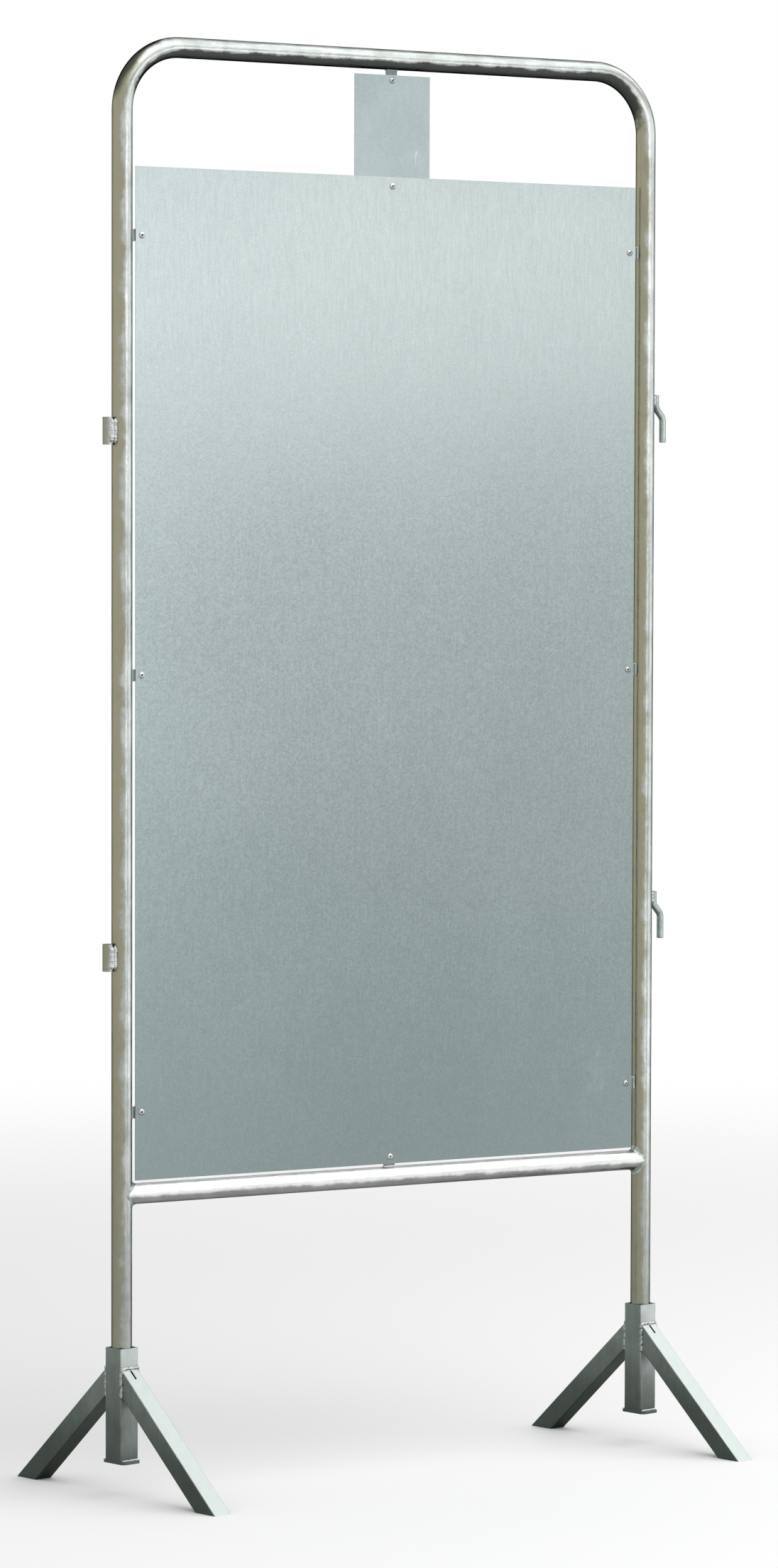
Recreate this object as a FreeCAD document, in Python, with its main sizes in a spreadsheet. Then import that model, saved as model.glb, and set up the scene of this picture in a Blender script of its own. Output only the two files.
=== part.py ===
import FreeCAD, Part
import math
import os

import Sketcher
from FreeCAD import Rotation, Vector

# Driving dimensions in millimetres, and one angle in degrees
SIZES = {
    # Frame tube and lower rail
    "tube_diameter": 35.0,
    "tube_wall": 2.0,
    "bend_radius": 108.0,
    "rail_height": 508.0,
    "weld_gap": 0.1,
    "vent_diameter": 6.0,
    "vent_inset": 22.0,
    # Posting sheet
    "panel_width": 1000.0,
    "panel_height": 1700.0,
    "panel_thickness": 1.5,
    "side_gap": 6.0,
    "bottom_gap": 5.0,
    # Number plate
    "plate_width": 150.0,
    "plate_height": 205.0,
    "plate_thickness": 1.5,
    "plate_overlap": 31.0,
    "plate_gap": 9.0,
    # Flat-bar tabs
    "tab_width": 20.0,
    "tab_thickness": 5.0,
    "tab_overlap": 24.0,
    "tab_corner": 4.0,
    # Blind rivets
    "rivet_shank": 4.8,
    "rivet_head": 11.0,
    "rivet_head_height": 2.6,
    "rivet_rim": 0.7,
    "rivet_bulge": 7.4,
    "rivet_bulge_length": 4.5,
    "rivet_clearance": 0.1,
    "rivet_side_inset": 12.0,
    "rivet_end_inset": 115.0,
    "rivet_foot_inset": 12.0,
    "rivet_head_inset": 16.0,
    "plate_rivet_inset": 9.0,
    "mandrel_diameter": 2.8,
    "mandrel_clearance": 0.05,
    "mandrel_recess": 1.4,
    "mandrel_head": 4.2,
    "mandrel_head_length": 2.0,
    # Hooks on the right post, and the bushes on the left post that take another board's hooks
    "hook_diameter": 12.0,
    "hook_throat": 15.0,
    "hook_height": 84.0,
    "hook_root_length": 18.0,
    "hook_pin_length": 38.0,
    "hook_bend_radius": 14.0,
    "hook_chamfer": 1.0,
    "hook_clearance": 0.5,
    "hook_tip_rise": 16.5,
    "bush_wall": 2.5,
    "bush_length": 46.0,
    "upper_bush_height": 1789.0,
    "lower_bush_height": 908.0,
    # Feet
    "foot_turn": 12.0,
    "foot_lift": 55.0,
    "post_clearance": 0.5,
    "post_seat_gap": 0.3,
    "socket_wall": 2.0,
    "socket_height": 190.0,
    "socket_corner": 3.0,
    "base_thickness": 5.0,
    "base_ear": 8.0,
    "base_corner": 5.0,
    "drain_diameter": 10.0,
    "leg_side": 35.0,
    "leg_wall": 2.0,
    "leg_corner": 3.0,
    "leg_reach": 240.0,
    "leg_rim_gap": 34.0,
    "slot_offset": 4.0,
    "slot_length": 20.0,
    "slot_width": 4.0,
}

# Sizes and places that follow from the driving dimensions
PLACES = {
    # Posts, rail and top of the frame
    "tube_radius": "Sizes.tube_diameter / 2",
    "tube_bore_radius": "tube_radius - Sizes.tube_wall",
    "cope_radius": "tube_radius + Sizes.weld_gap",
    "post_x": "Sizes.panel_width / 2 + Sizes.side_gap + tube_radius",
    "post_span": "2 * post_x",
    "vent_radius": "Sizes.vent_diameter / 2",
    "vent_x": "post_x - tube_radius - Sizes.vent_inset",
    # Posting sheet and number plate
    "panel_half_width": "Sizes.panel_width / 2",
    "panel_half_height": "Sizes.panel_height / 2",
    "panel_foot_z": "Sizes.rail_height + tube_radius + Sizes.bottom_gap",
    "panel_middle_z": "panel_foot_z + panel_half_height",
    "panel_head_z": "panel_foot_z + Sizes.panel_height",
    "plate_half_width": "Sizes.plate_width / 2",
    "plate_half_height": "Sizes.plate_height / 2",
    "plate_middle_z": "panel_head_z - Sizes.plate_overlap + plate_half_height",
    "plate_head_z": "plate_middle_z + plate_half_height",
    "crown_z": "plate_head_z + Sizes.plate_gap + tube_radius",
    # Tabs, and how far forward of the posts' plane the sheets lie
    "tab_half_width": "Sizes.tab_width / 2",
    "tab_front": "Sizes.tab_thickness / 2",
    "plate_back": "tab_front - Sizes.plate_thickness",
    "panel_front": "tab_front + Sizes.panel_thickness",
    "side_tab_far": "tube_radius + Sizes.side_gap + Sizes.tab_overlap",
    "side_tab_rivet": "tube_radius + Sizes.side_gap + Sizes.rivet_side_inset",
    "bottom_tab_far": "tube_radius + Sizes.bottom_gap + Sizes.tab_overlap",
    "bottom_tab_rivet": "tube_radius + Sizes.bottom_gap + Sizes.rivet_foot_inset",
    "top_tab_far": "tube_radius + Sizes.plate_gap + Sizes.tab_overlap",
    "top_tab_rivet": "tube_radius + Sizes.plate_gap + Sizes.plate_rivet_inset",
    # Rivets
    "shank_radius": "Sizes.rivet_shank / 2",
    "rivet_hole_radius": "shank_radius + Sizes.rivet_clearance",
    "rivet_head_radius": "Sizes.rivet_head / 2",
    "rivet_bulge_radius": "Sizes.rivet_bulge / 2",
    "dome_rise": "Sizes.rivet_head_height - Sizes.rivet_rim",
    "dome_radius": "(rivet_head_radius ^ 2 + dome_rise ^ 2) / (2 * dome_rise)",
    "mandrel_radius": "Sizes.mandrel_diameter / 2",
    "mandrel_head_radius": "Sizes.mandrel_head / 2",
    "mandrel_end": "Sizes.rivet_head_height - Sizes.mandrel_recess",
    "rivet_bore_radius": "mandrel_radius + Sizes.mandrel_clearance",
    "panel_grip": "Sizes.panel_thickness + Sizes.tab_thickness",
    "plate_grip": "Sizes.plate_thickness + Sizes.tab_thickness",
    "lap_grip": "Sizes.panel_thickness + Sizes.plate_thickness",
    "panel_tail": "panel_grip + Sizes.rivet_bulge_length",
    "plate_tail": "plate_grip + Sizes.rivet_bulge_length",
    "lap_tail": "lap_grip + Sizes.rivet_bulge_length",
    "panel_tip": "panel_tail + Sizes.mandrel_head_length",
    "plate_tip": "plate_tail + Sizes.mandrel_head_length",
    "lap_tip": "lap_tail + Sizes.mandrel_head_length",
    "side_rivet_x": "panel_half_width - Sizes.rivet_side_inset",
    "end_rivet_rise": "panel_half_height - Sizes.rivet_end_inset",
    "foot_rivet_drop": "panel_half_height - Sizes.rivet_foot_inset",
    "head_rivet_rise": "panel_half_height - Sizes.rivet_head_inset",
    "upper_rivet_z": "panel_middle_z + end_rivet_rise",
    "lower_rivet_z": "panel_middle_z - end_rivet_rise",
    "foot_rivet_z": "panel_middle_z - foot_rivet_drop",
    "head_rivet_z": "panel_middle_z + head_rivet_rise",
    "plate_rivet_rise": "plate_half_height - Sizes.plate_rivet_inset",
    "plate_rivet_drop": "plate_middle_z - head_rivet_z",
    "plate_rivet_z": "plate_middle_z + plate_rivet_rise",
    # Hooks and bushes
    "hook_radius": "Sizes.hook_diameter / 2",
    "hook_root_x": "cope_radius + hook_radius",
    "hook_pin_x": "tube_radius + Sizes.hook_throat + hook_radius",
    "bush_bore_radius": "hook_radius + Sizes.hook_clearance",
    "bush_radius": "bush_bore_radius + Sizes.bush_wall",
    "bush_x": "post_x + cope_radius + bush_radius",
    "upper_hook_z": "Sizes.upper_bush_height - Sizes.bush_length / 2 + Sizes.hook_tip_rise",
    "lower_hook_z": "Sizes.lower_bush_height - Sizes.bush_length / 2 + Sizes.hook_tip_rise",
    # Feet
    "rear_turn": "Sizes.foot_turn + 180",
    "socket_bore_half": "tube_radius + Sizes.post_clearance",
    "socket_half": "socket_bore_half + Sizes.socket_wall",
    "socket_bore_corner": "Sizes.socket_corner - Sizes.socket_wall",
    "socket_foot_z": "Sizes.foot_lift + Sizes.base_thickness",
    "rim_z": "socket_foot_z + Sizes.socket_height",
    "post_end_z": "socket_foot_z + Sizes.post_seat_gap",
    "base_half_length": "socket_half + Sizes.base_ear",
    "drain_radius": "Sizes.drain_diameter / 2",
    "leg_half": "Sizes.leg_side / 2",
    "leg_bore_half": "leg_half - Sizes.leg_wall",
    "leg_bore_corner": "Sizes.leg_corner - Sizes.leg_wall",
    "leg_top_z": "rim_z - Sizes.leg_rim_gap",
    "leg_slope": "atan(leg_top_z / Sizes.leg_reach)",
    "leg_stock": "leg_top_z / sin(leg_slope) + 2 * Sizes.leg_side",
    "leg_trim_width": "2 * Sizes.leg_side",
    "leg_trim_reach": "Sizes.leg_reach + Sizes.leg_side",
    "leg_trim_y": "socket_half + leg_trim_reach",
    "slot_radius": "Sizes.slot_width / 2",
    "slot_near": "Sizes.slot_offset + slot_radius",
    "slot_far": "Sizes.slot_offset + Sizes.slot_length - slot_radius",
}

# Numbers that a sketch uses for its own origin, its two axes and the spots on a line or an arc
ORIGIN = (-1, 1)
ACROSS_AXIS, UP_AXIS = -1, -2
START, END, CENTRE = range(1, 4)

# How far two measured values may differ and still count as equal
TOLERANCE = 1e-6

doc = FreeCAD.newDocument("notice_board")


def fill_sheet(name, cells):
    """One row per dimension, its value or formula in a cell named after it."""
    sheet = doc.addObject("Spreadsheet::Sheet", name)
    for row, (alias, content) in enumerate(cells.items(), 1):
        sheet.set(f"A{row}", alias)
        sheet.set(f"B{row}", content)
        sheet.setAlias(f"B{row}", alias)
    return sheet


sizes = fill_sheet("Sizes", {name: str(value) for name, value in SIZES.items()})
places = fill_sheet("Places", {name: "=" + formula for name, formula in PLACES.items()})
doc.recompute()


def cell(name):
    """The expression for a named dimension; a leading minus sign turns it round."""
    plain = name.lstrip("-")
    sheet = "Sizes" if plain in SIZES else "Places"
    return name[: len(name) - len(plain)] + f"{sheet}.{plain}"


def number(name):
    """The present value of a named dimension, used to draw a sketch before it is solved."""
    plain = name.lstrip("-")
    value = getattr(sizes if plain in SIZES else places, plain)
    value = float(getattr(value, "Value", value))
    return value if plain == name else -value


def place(piece, x=None, y=None, z=None, turn=None, about=Vector(0, 0, 1), fixed_turn=0.0):
    """Puts a piece at named coordinates, turned by a named or a fixed angle."""
    piece.Placement.Rotation = Rotation(about, number(turn) if turn else fixed_turn)
    if turn:
        piece.setExpression("Placement.Rotation.Angle", cell(turn))
    for letter, name in (("x", x), ("y", y), ("z", z)):
        if name:
            piece.setExpression(f"Placement.Base.{letter}", cell(name))


def new_body(label):
    body = doc.addObject("PartDesign::Body", label)
    body.Label = label
    return body


def sketch_on(body, name, role, x=None, y=None, lift=None):
    """A sketch on one of the body's origin planes, shifted by named amounts."""
    plane = next(item for item in body.Origin.OriginFeatures if item.Role == role)
    drawing = body.newObject("Sketcher::SketchObject", name)
    drawing.AttachmentSupport = [(plane, "")]
    drawing.MapMode = "FlatFace"
    for letter, amount in (("x", x), ("y", y), ("z", lift)):
        if amount:
            drawing.setExpression(f"AttachmentOffset.Base.{letter}", cell(amount))
    return drawing


def dimension(drawing, name, kind, *elements):
    """A constraint whose value follows a named dimension."""
    index = drawing.addConstraint(Sketcher.Constraint(kind, *elements, number(name)))
    drawing.setExpression(f"Constraints[{index}]", cell(name))


def relate(drawing, kind, *elements):
    drawing.addConstraint(Sketcher.Constraint(kind, *elements))


def pin_point(drawing, geometry, end, x=None, y=None):
    """Fixes one point of a curve at named coordinates, or on an axis where none is given."""
    for kind, axis, name in (("DistanceX", UP_AXIS, x), ("DistanceY", ACROSS_AXIS, y)):
        if name:
            dimension(drawing, name, kind, *ORIGIN, geometry, end)
        else:
            relate(drawing, "PointOnObject", geometry, end, axis)


def draw_line(drawing, start, end):
    return drawing.addGeometry(Part.LineSegment(start, end))


def draw_arc(drawing, centre, radius, first, last):
    circle = Part.Circle(centre, Vector(0, 0, 1), radius)
    return drawing.addGeometry(Part.ArcOfCircle(circle, first, last))


def draw_circle(drawing, radius, x=None, y=None):
    centre = Vector(number(x) if x else 0, number(y) if y else 0, 0)
    ring = drawing.addGeometry(Part.Circle(centre, Vector(0, 0, 1), number(radius)))
    dimension(drawing, radius, "Radius", ring)
    pin_point(drawing, ring, CENTRE, x, y)


def draw_rectangle(drawing, left, right, bottom, top):
    names = ((left, bottom), (right, bottom), (right, top), (left, top))
    corners = [Vector(number(x), number(y), 0) for x, y in names]
    sides = [draw_line(drawing, corners[i], corners[(i + 1) % 4]) for i in range(4)]
    for i, side in enumerate(sides):
        relate(drawing, "Coincident", side, END, sides[(i + 1) % 4], START)
        relate(drawing, "Vertical" if i % 2 else "Horizontal", side)
    pin_point(drawing, sides[0], START, left, bottom)
    pin_point(drawing, sides[2], START, right, top)


def draw_centred(drawing, half_width, half_height):
    """A rectangle about the sketch's origin."""
    draw_rectangle(drawing, "-" + half_width, half_width, "-" + half_height, half_height)


def draw_rounded_square(drawing, half, corner):
    """A square about the sketch's origin, its corners rounded as on a rolled tube."""
    reach = number(half)
    radius = number(corner)
    flat = reach - radius
    sides = []
    arcs = []
    for quarter in range(4):
        spin = Rotation(Vector(0, 0, 1), 90 * quarter)
        start = spin.multVec(Vector(-flat, -reach, 0))
        end = spin.multVec(Vector(flat, -reach, 0))
        sides.append(draw_line(drawing, start, end))
        first = math.radians(90 * quarter - 90)
        centre = spin.multVec(Vector(flat, -flat, 0))
        arcs.append(draw_arc(drawing, centre, radius, first, first + math.pi / 2))
    for quarter in range(4):
        relate(drawing, "Vertical" if quarter % 2 else "Horizontal", sides[quarter])
        relate(drawing, "Tangent", sides[quarter], END, arcs[quarter], START)
        relate(drawing, "Tangent", arcs[quarter], END, sides[(quarter + 1) % 4], START)
        if quarter:
            relate(drawing, "Equal", arcs[0], arcs[quarter])
    dimension(drawing, corner, "Radius", arcs[0])
    dimension(drawing, "-" + half, "DistanceY", *ORIGIN, sides[0], START)
    dimension(drawing, half, "DistanceX", *ORIGIN, sides[1], START)
    dimension(drawing, half, "DistanceY", *ORIGIN, sides[2], START)
    dimension(drawing, "-" + half, "DistanceX", *ORIGIN, sides[3], START)


def draw_slot(drawing, radius, near, far):
    """A slot with round ends on the sketch's upright axis."""
    reach = number(radius)
    low = Vector(0, number(far), 0)
    high = Vector(0, number(near), 0)
    side = Vector(reach, 0, 0)
    right = draw_line(drawing, low + side, high + side)
    left = draw_line(drawing, high - side, low - side)
    top = draw_arc(drawing, high, reach, 0, math.pi)
    bottom = draw_arc(drawing, low, reach, math.pi, 2 * math.pi)
    relate(drawing, "Vertical", right)
    relate(drawing, "Vertical", left)
    loop = (right, top, left, bottom)
    for i, edge in enumerate(loop):
        relate(drawing, "Tangent", edge, END, loop[(i + 1) % 4], START)
    dimension(drawing, radius, "Radius", top)
    pin_point(drawing, top, CENTRE, y=near)
    dimension(drawing, far, "DistanceY", *ORIGIN, bottom, CENTRE)


def draw_bent_line(drawing, corners, radius):
    """Straight runs through the corner points, joined by tangent arcs. Returns the runs."""
    bend = number(radius)
    points = [corners[0]]
    arcs = []
    for before, corner, after in zip(corners, corners[1:], corners[2:]):
        back = (before - corner).normalize()
        ahead = (after - corner).normalize()
        half_angle = back.getAngle(ahead) / 2
        trim = bend / math.tan(half_angle)
        centre = corner + (back + ahead).normalize() * (bend / math.sin(half_angle))
        points += [corner + back * trim, corner + ahead * trim]
        arcs.append(centre)
    points.append(corners[-1])
    runs = [draw_line(drawing, points[i], points[i + 1]) for i in range(0, len(points), 2)]
    for i, centre in enumerate(arcs):
        first = points[2 * i + 1] - centre
        last = points[2 * i + 2] - centre
        leftward = first.cross(last).z > 0
        begin, finish = (first, last) if leftward else (last, first)
        angle = math.atan2(begin.y, begin.x)
        arc = draw_arc(drawing, centre, bend, angle, angle + begin.getAngle(finish))
        dimension(drawing, radius, "Radius", arc)
        relate(drawing, "Tangent", runs[i], END, arc, START if leftward else END)
        relate(drawing, "Tangent", arc, END if leftward else START, runs[i + 1], START)
    return runs


def draw_profile(drawing, names, dome=None):
    """A closed outline through named points beside the upright axis. With a dome radius the last
    side is an arc about that axis, and the height of the first point follows from the arc."""
    points = [Vector(number(x) if x else 0, number(y) if y else 0, 0) for x, y in names]
    count = len(points)
    if dome:
        radius = number(dome)
        centre = Vector(0, points[-1].y - math.sqrt(radius ** 2 - points[-1].x ** 2), 0)
        points[0].y = centre.y + math.sqrt(radius ** 2 - points[0].x ** 2)
    sides = [draw_line(drawing, begin, finish) for begin, finish in zip(points, points[1:])]
    if dome:
        first, last = [math.atan2(point.y - centre.y, point.x) for point in (points[-1], points[0])]
        sides.append(draw_arc(drawing, centre, radius, first, last))
        dimension(drawing, dome, "Radius", sides[-1])
        relate(drawing, "PointOnObject", sides[-1], CENTRE, UP_AXIS)
        dimension(drawing, names[0][0], "DistanceX", *ORIGIN, sides[0], START)
    else:
        sides.append(draw_line(drawing, points[-1], points[0]))
        pin_point(drawing, sides[0], START, *names[0])
    for i, side in enumerate(sides):
        relate(drawing, "Coincident", side, END, sides[(i + 1) % count], START)
    for side, (x, y) in zip(sides[1:], names[1:]):
        pin_point(drawing, side, START, x, y)


def add_pad(body, drawing, length, side="One side", backward=False):
    pad = body.newObject("PartDesign::Pad", "pad")
    pad.Profile = drawing
    pad.SideType = side
    pad.Reversed = backward
    pad.setExpression("Length", cell(length))
    return pad


def add_pocket(body, drawing, length=None, side="One side", backward=False):
    pocket = body.newObject("PartDesign::Pocket", "pocket")
    pocket.Profile = drawing
    pocket.SideType = side
    pocket.Reversed = backward
    if length:
        pocket.setExpression("Length", cell(length))
    else:
        pocket.Type = "ThroughAll"
    return pocket


def add_pipe(body, section, path):
    pipe = body.newObject("PartDesign::AdditivePipe", "pipe")
    pipe.Profile = section
    pipe.Spine = path
    return pipe


def add_turning(body, drawing):
    """A full turn of a drawing about its own upright axis."""
    turning = body.newObject("PartDesign::Revolution", "turning")
    turning.Profile = drawing
    turning.ReferenceAxis = (drawing, ["V_Axis"])
    turning.Angle = 360
    return turning


def dress_edges(body, feature, kind, size, chosen):
    """A fillet or a chamfer on the edges of a feature that a test picks."""
    doc.recompute()
    names = [f"Edge{i}" for i, edge in enumerate(feature.Shape.Edges, 1) if chosen(edge)]
    dressing = body.newObject("PartDesign::" + kind, kind.lower())
    dressing.Base = (feature, names)
    dressing.setExpression("Radius" if kind == "Fillet" else "Size", cell(size))
    return dressing


def runs_along(edge, direction):
    """Tells whether a straight edge lies along a direction."""
    if not isinstance(edge.Curve, Part.Line):
        return False
    return edge.tangentAt(edge.FirstParameter).cross(direction).Length < TOLERANCE


def make_frame_tube():
    body = new_body("frame_tube")
    path = sketch_on(body, "bent_path", "XZ_Plane")
    side = number("post_x")
    foot = number("post_end_z")
    crown = number("crown_z")
    corners = [Vector(-side, foot, 0), Vector(-side, crown, 0), Vector(side, crown, 0), Vector(side, foot, 0)]
    left, top, right = draw_bent_line(path, corners, "bend_radius")
    relate(path, "Vertical", left)
    relate(path, "Horizontal", top)
    relate(path, "Vertical", right)
    pin_point(path, left, START, "-post_x", "post_end_z")
    pin_point(path, right, END, "post_x", "post_end_z")
    dimension(path, "crown_z", "DistanceY", *ORIGIN, top, START)
    section = sketch_on(body, "tube_section", "XY_Plane", x="-post_x", lift="post_end_z")
    draw_circle(section, "tube_radius")
    draw_circle(section, "tube_bore_radius")
    add_pipe(body, section, path)
    return body


def make_lower_rail():
    body = new_body("lower_rail")
    section = sketch_on(body, "rail_section", "YZ_Plane")
    draw_circle(section, "tube_radius")
    draw_circle(section, "tube_bore_radius")
    add_pad(body, section, "post_span", side="Symmetric")
    copes = sketch_on(body, "post_copes", "XY_Plane")
    draw_circle(copes, "cope_radius", x="-post_x")
    draw_circle(copes, "cope_radius", x="post_x")
    add_pocket(body, copes, side="Symmetric")
    upper_vent = sketch_on(body, "upper_vent", "XY_Plane")
    draw_circle(upper_vent, "vent_radius", x="-vent_x")
    add_pocket(body, upper_vent, "tube_diameter", backward=True)
    lower_vent = sketch_on(body, "lower_vent", "XY_Plane")
    draw_circle(lower_vent, "vent_radius", x="vent_x")
    add_pocket(body, lower_vent, "tube_diameter")
    place(body, z="rail_height")
    return body


def make_tab(label, far, rivet, about=Vector(0, 0, 1), fixed_turn=0.0, x=None, y=None, z=None):
    """A flat bar that runs out from a tube's axis, with its rivet hole and round outer corners."""
    body = new_body(label)
    outline = sketch_on(body, "bar_outline", "XZ_Plane")
    draw_rectangle(outline, "cope_radius", far, "-tab_half_width", "tab_half_width")
    draw_circle(outline, "rivet_hole_radius", x=rivet)
    pad = add_pad(body, outline, "tab_thickness", side="Symmetric")
    reach = number(far)
    dress_edges(
        body, pad, "Fillet", "tab_corner",
        lambda edge: runs_along(edge, Vector(0, 1, 0)) and abs(edge.CenterOfMass.x - reach) < TOLERANCE,
    )
    place(body, x, y, z, about=about, fixed_turn=fixed_turn)
    return body


def make_tabs():
    tabs = []
    heights = {"upper": "upper_rivet_z", "middle": "panel_middle_z", "lower": "lower_rivet_z"}
    for level, height in heights.items():
        for side, post, turn in (("left", "-post_x", 0.0), ("right", "post_x", 180.0)):
            label = f"{side}_tab_{level}"
            tabs.append(make_tab(label, "side_tab_far", "side_tab_rivet", fixed_turn=turn, x=post, z=height))
    across = Vector(0, 1, 0)
    tabs.append(
        make_tab("top_tab", "top_tab_far", "top_tab_rivet", across, 90.0, y="plate_thickness", z="crown_z")
    )
    tabs.append(
        make_tab("bottom_tab", "bottom_tab_far", "bottom_tab_rivet", across, -90.0, z="rail_height")
    )
    return tabs


def make_panel_sheet():
    body = new_body("panel_sheet")
    outline = sketch_on(body, "sheet_outline", "XZ_Plane", lift="tab_front")
    draw_centred(outline, "panel_half_width", "panel_half_height")
    for x in ("-side_rivet_x", "side_rivet_x"):
        for z in ("end_rivet_rise", None, "-end_rivet_rise"):
            draw_circle(outline, "rivet_hole_radius", x, z)
    draw_circle(outline, "rivet_hole_radius", y="head_rivet_rise")
    draw_circle(outline, "rivet_hole_radius", y="-foot_rivet_drop")
    add_pad(body, outline, "panel_thickness")
    place(body, z="panel_middle_z")
    return body


def make_number_plate():
    body = new_body("number_plate")
    outline = sketch_on(body, "plate_outline", "XZ_Plane", lift="plate_back")
    draw_centred(outline, "plate_half_width", "plate_half_height")
    draw_circle(outline, "rivet_hole_radius", y="plate_rivet_rise")
    draw_circle(outline, "rivet_hole_radius", y="-plate_rivet_drop")
    add_pad(body, outline, "plate_thickness")
    place(body, z="plate_middle_z")
    return body


def make_rivet(label, kind):
    """A set blind rivet about its own upright axis, the underside of its head at the origin."""
    body = new_body(label)
    profile = sketch_on(body, "rivet_profile", "XZ_Plane")
    points = (
        ("rivet_bore_radius", None),
        ("rivet_bore_radius", f"-{kind}_tail"),
        ("shank_radius", f"-{kind}_tail"),
        ("rivet_bulge_radius", f"-{kind}_grip"),
        ("shank_radius", f"-{kind}_grip"),
        ("shank_radius", None),
        ("rivet_head_radius", None),
        ("rivet_head_radius", "rivet_rim"),
    )
    draw_profile(profile, points, dome="dome_radius")
    add_turning(body, profile)
    return body


def make_mandrel(label, kind):
    """The part of a rivet's mandrel that stays behind: the broken stem and the trapped head."""
    body = new_body(label)
    profile = sketch_on(body, "mandrel_profile", "XZ_Plane")
    points = (
        (None, "mandrel_end"),
        (None, f"-{kind}_tip"),
        ("mandrel_head_radius", f"-{kind}_tip"),
        ("mandrel_head_radius", f"-{kind}_tail"),
        ("mandrel_radius", f"-{kind}_tail"),
        ("mandrel_radius", "mandrel_end"),
    )
    draw_profile(profile, points)
    add_turning(body, profile)
    return body


def face_front(piece, x, y, z):
    """Puts a rivet or a mandrel at named coordinates, its head towards the front of the board."""
    place(piece, x, y, z, about=Vector(1, 0, 0), fixed_turn=90.0)


def repeat_along(first, label, spots):
    """One piece at the first spot and linked copies at the others, kept as separate solids."""
    face_front(first, *spots[0])
    copies = [first]
    for i, spot in enumerate(spots[1:], 2):
        copy = doc.addObject("App::Link", f"{label}_{i}")
        copy.LinkedObject = first
        copy.LinkTransform = False
        face_front(copy, *spot)
        copies.append(copy)
    group = doc.addObject("Part::Compound", label)
    group.Label = label
    group.Links = copies
    return group


def make_rivets():
    columns = ("-side_rivet_x", "side_rivet_x")
    rows = ("upper_rivet_z", "panel_middle_z", "lower_rivet_z")
    spots = [(x, "-panel_front", z) for x in columns for z in rows]
    spots.append((None, "-panel_front", "foot_rivet_z"))
    pieces = [
        repeat_along(make_rivet("panel_rivet", "panel"), "panel_rivets", spots),
        repeat_along(make_mandrel("panel_mandrel", "panel"), "panel_mandrels", spots),
    ]
    upper_spot = (None, "-tab_front", "plate_rivet_z")
    lower_spot = (None, "-panel_front", "head_rivet_z")
    for level, kind, spot in (("upper", "plate", upper_spot), ("lower", "lap", lower_spot)):
        rivet = make_rivet(f"plate_rivet_{level}", kind)
        mandrel = make_mandrel(f"plate_mandrel_{level}", kind)
        for piece in (rivet, mandrel):
            face_front(piece, *spot)
            pieces.append(piece)
    return pieces


def make_bush(label, height):
    body = new_body(label)
    section = sketch_on(body, "bush_section", "XY_Plane")
    draw_circle(section, "bush_radius")
    draw_circle(section, "bush_bore_radius")
    add_pad(body, section, "bush_length", side="Symmetric")
    place(body, x="-bush_x", z=height)
    return body


def make_hook(label, height):
    """A round bar welded along the post at its root, set off by two bends, its pin pointing down."""
    body = new_body(label)
    path = sketch_on(body, "bent_path", "XZ_Plane")
    root_x = number("hook_root_x")
    pin_x = number("hook_pin_x")
    top = number("hook_height")
    bend_top = top - number("hook_root_length")
    bend_foot = number("hook_pin_length")
    inset = (bend_top - bend_foot) / 8
    corners = [
        Vector(root_x, top, 0),
        Vector(root_x, bend_top - inset, 0),
        Vector(pin_x, bend_foot + inset, 0),
        Vector(pin_x, 0, 0),
    ]
    root, slant, pin = draw_bent_line(path, corners, "hook_bend_radius")
    relate(path, "Vertical", root)
    relate(path, "Vertical", pin)
    pin_point(path, root, START, "hook_root_x", "hook_height")
    pin_point(path, pin, END, x="hook_pin_x")
    dimension(path, "hook_root_length", "Distance", root)
    dimension(path, "hook_pin_length", "Distance", pin)
    section = sketch_on(body, "bar_section", "XY_Plane", x="hook_root_x", lift="hook_height")
    draw_circle(section, "hook_radius")
    pipe = add_pipe(body, section, path)
    dress_edges(body, pipe, "Chamfer", "hook_chamfer", lambda edge: abs(edge.BoundBox.ZMax) < TOLERANCE)
    place(body, x="post_x", z=height)
    return body


def make_socket(label, post):
    body = new_body(label)
    section = sketch_on(body, "socket_section", "XY_Plane")
    draw_rounded_square(section, "socket_half", "socket_corner")
    draw_rounded_square(section, "socket_bore_half", "socket_bore_corner")
    add_pad(body, section, "socket_height")
    place(body, x=post, z="socket_foot_z", turn="foot_turn")
    return body


def make_base_plate(label, post):
    body = new_body(label)
    outline = sketch_on(body, "plate_outline", "XY_Plane")
    draw_centred(outline, "socket_half", "base_half_length")
    draw_circle(outline, "drain_radius")
    pad = add_pad(body, outline, "base_thickness")
    dress_edges(body, pad, "Chamfer", "base_corner", lambda edge: runs_along(edge, Vector(0, 0, 1)))
    place(body, x=post, z="foot_lift", turn="foot_turn")
    return body


def make_leg_stock():
    """Square tube sloping forward and down from the socket's front face, longer than the leg."""
    body = new_body("leg_stock")
    section = sketch_on(body, "tube_section", "XZ_Plane", y="-leg_half", lift="-leg_side")
    draw_rounded_square(section, "leg_half", "leg_corner")
    draw_rounded_square(section, "leg_bore_half", "leg_bore_corner")
    add_pad(body, section, "leg_stock")
    slot = sketch_on(body, "vent_slot", "XY_Plane")
    draw_slot(slot, "slot_radius", "-slot_near", "-slot_far")
    add_pocket(body, slot, "leg_half")
    place(body, y="-socket_half", z="leg_top_z", turn="leg_slope", about=Vector(1, 0, 0))
    return body


def make_leg_trim():
    """The room that a leg fills: from the socket's face outwards, and from the ground up."""
    box = doc.addObject("Part::Box", "leg_trim")
    box.setExpression("Length", cell("leg_trim_width"))
    box.setExpression("Width", cell("leg_trim_reach"))
    box.setExpression("Height", cell("rim_z"))
    place(box, x="-leg_side", y="-leg_trim_y")
    return box


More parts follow.
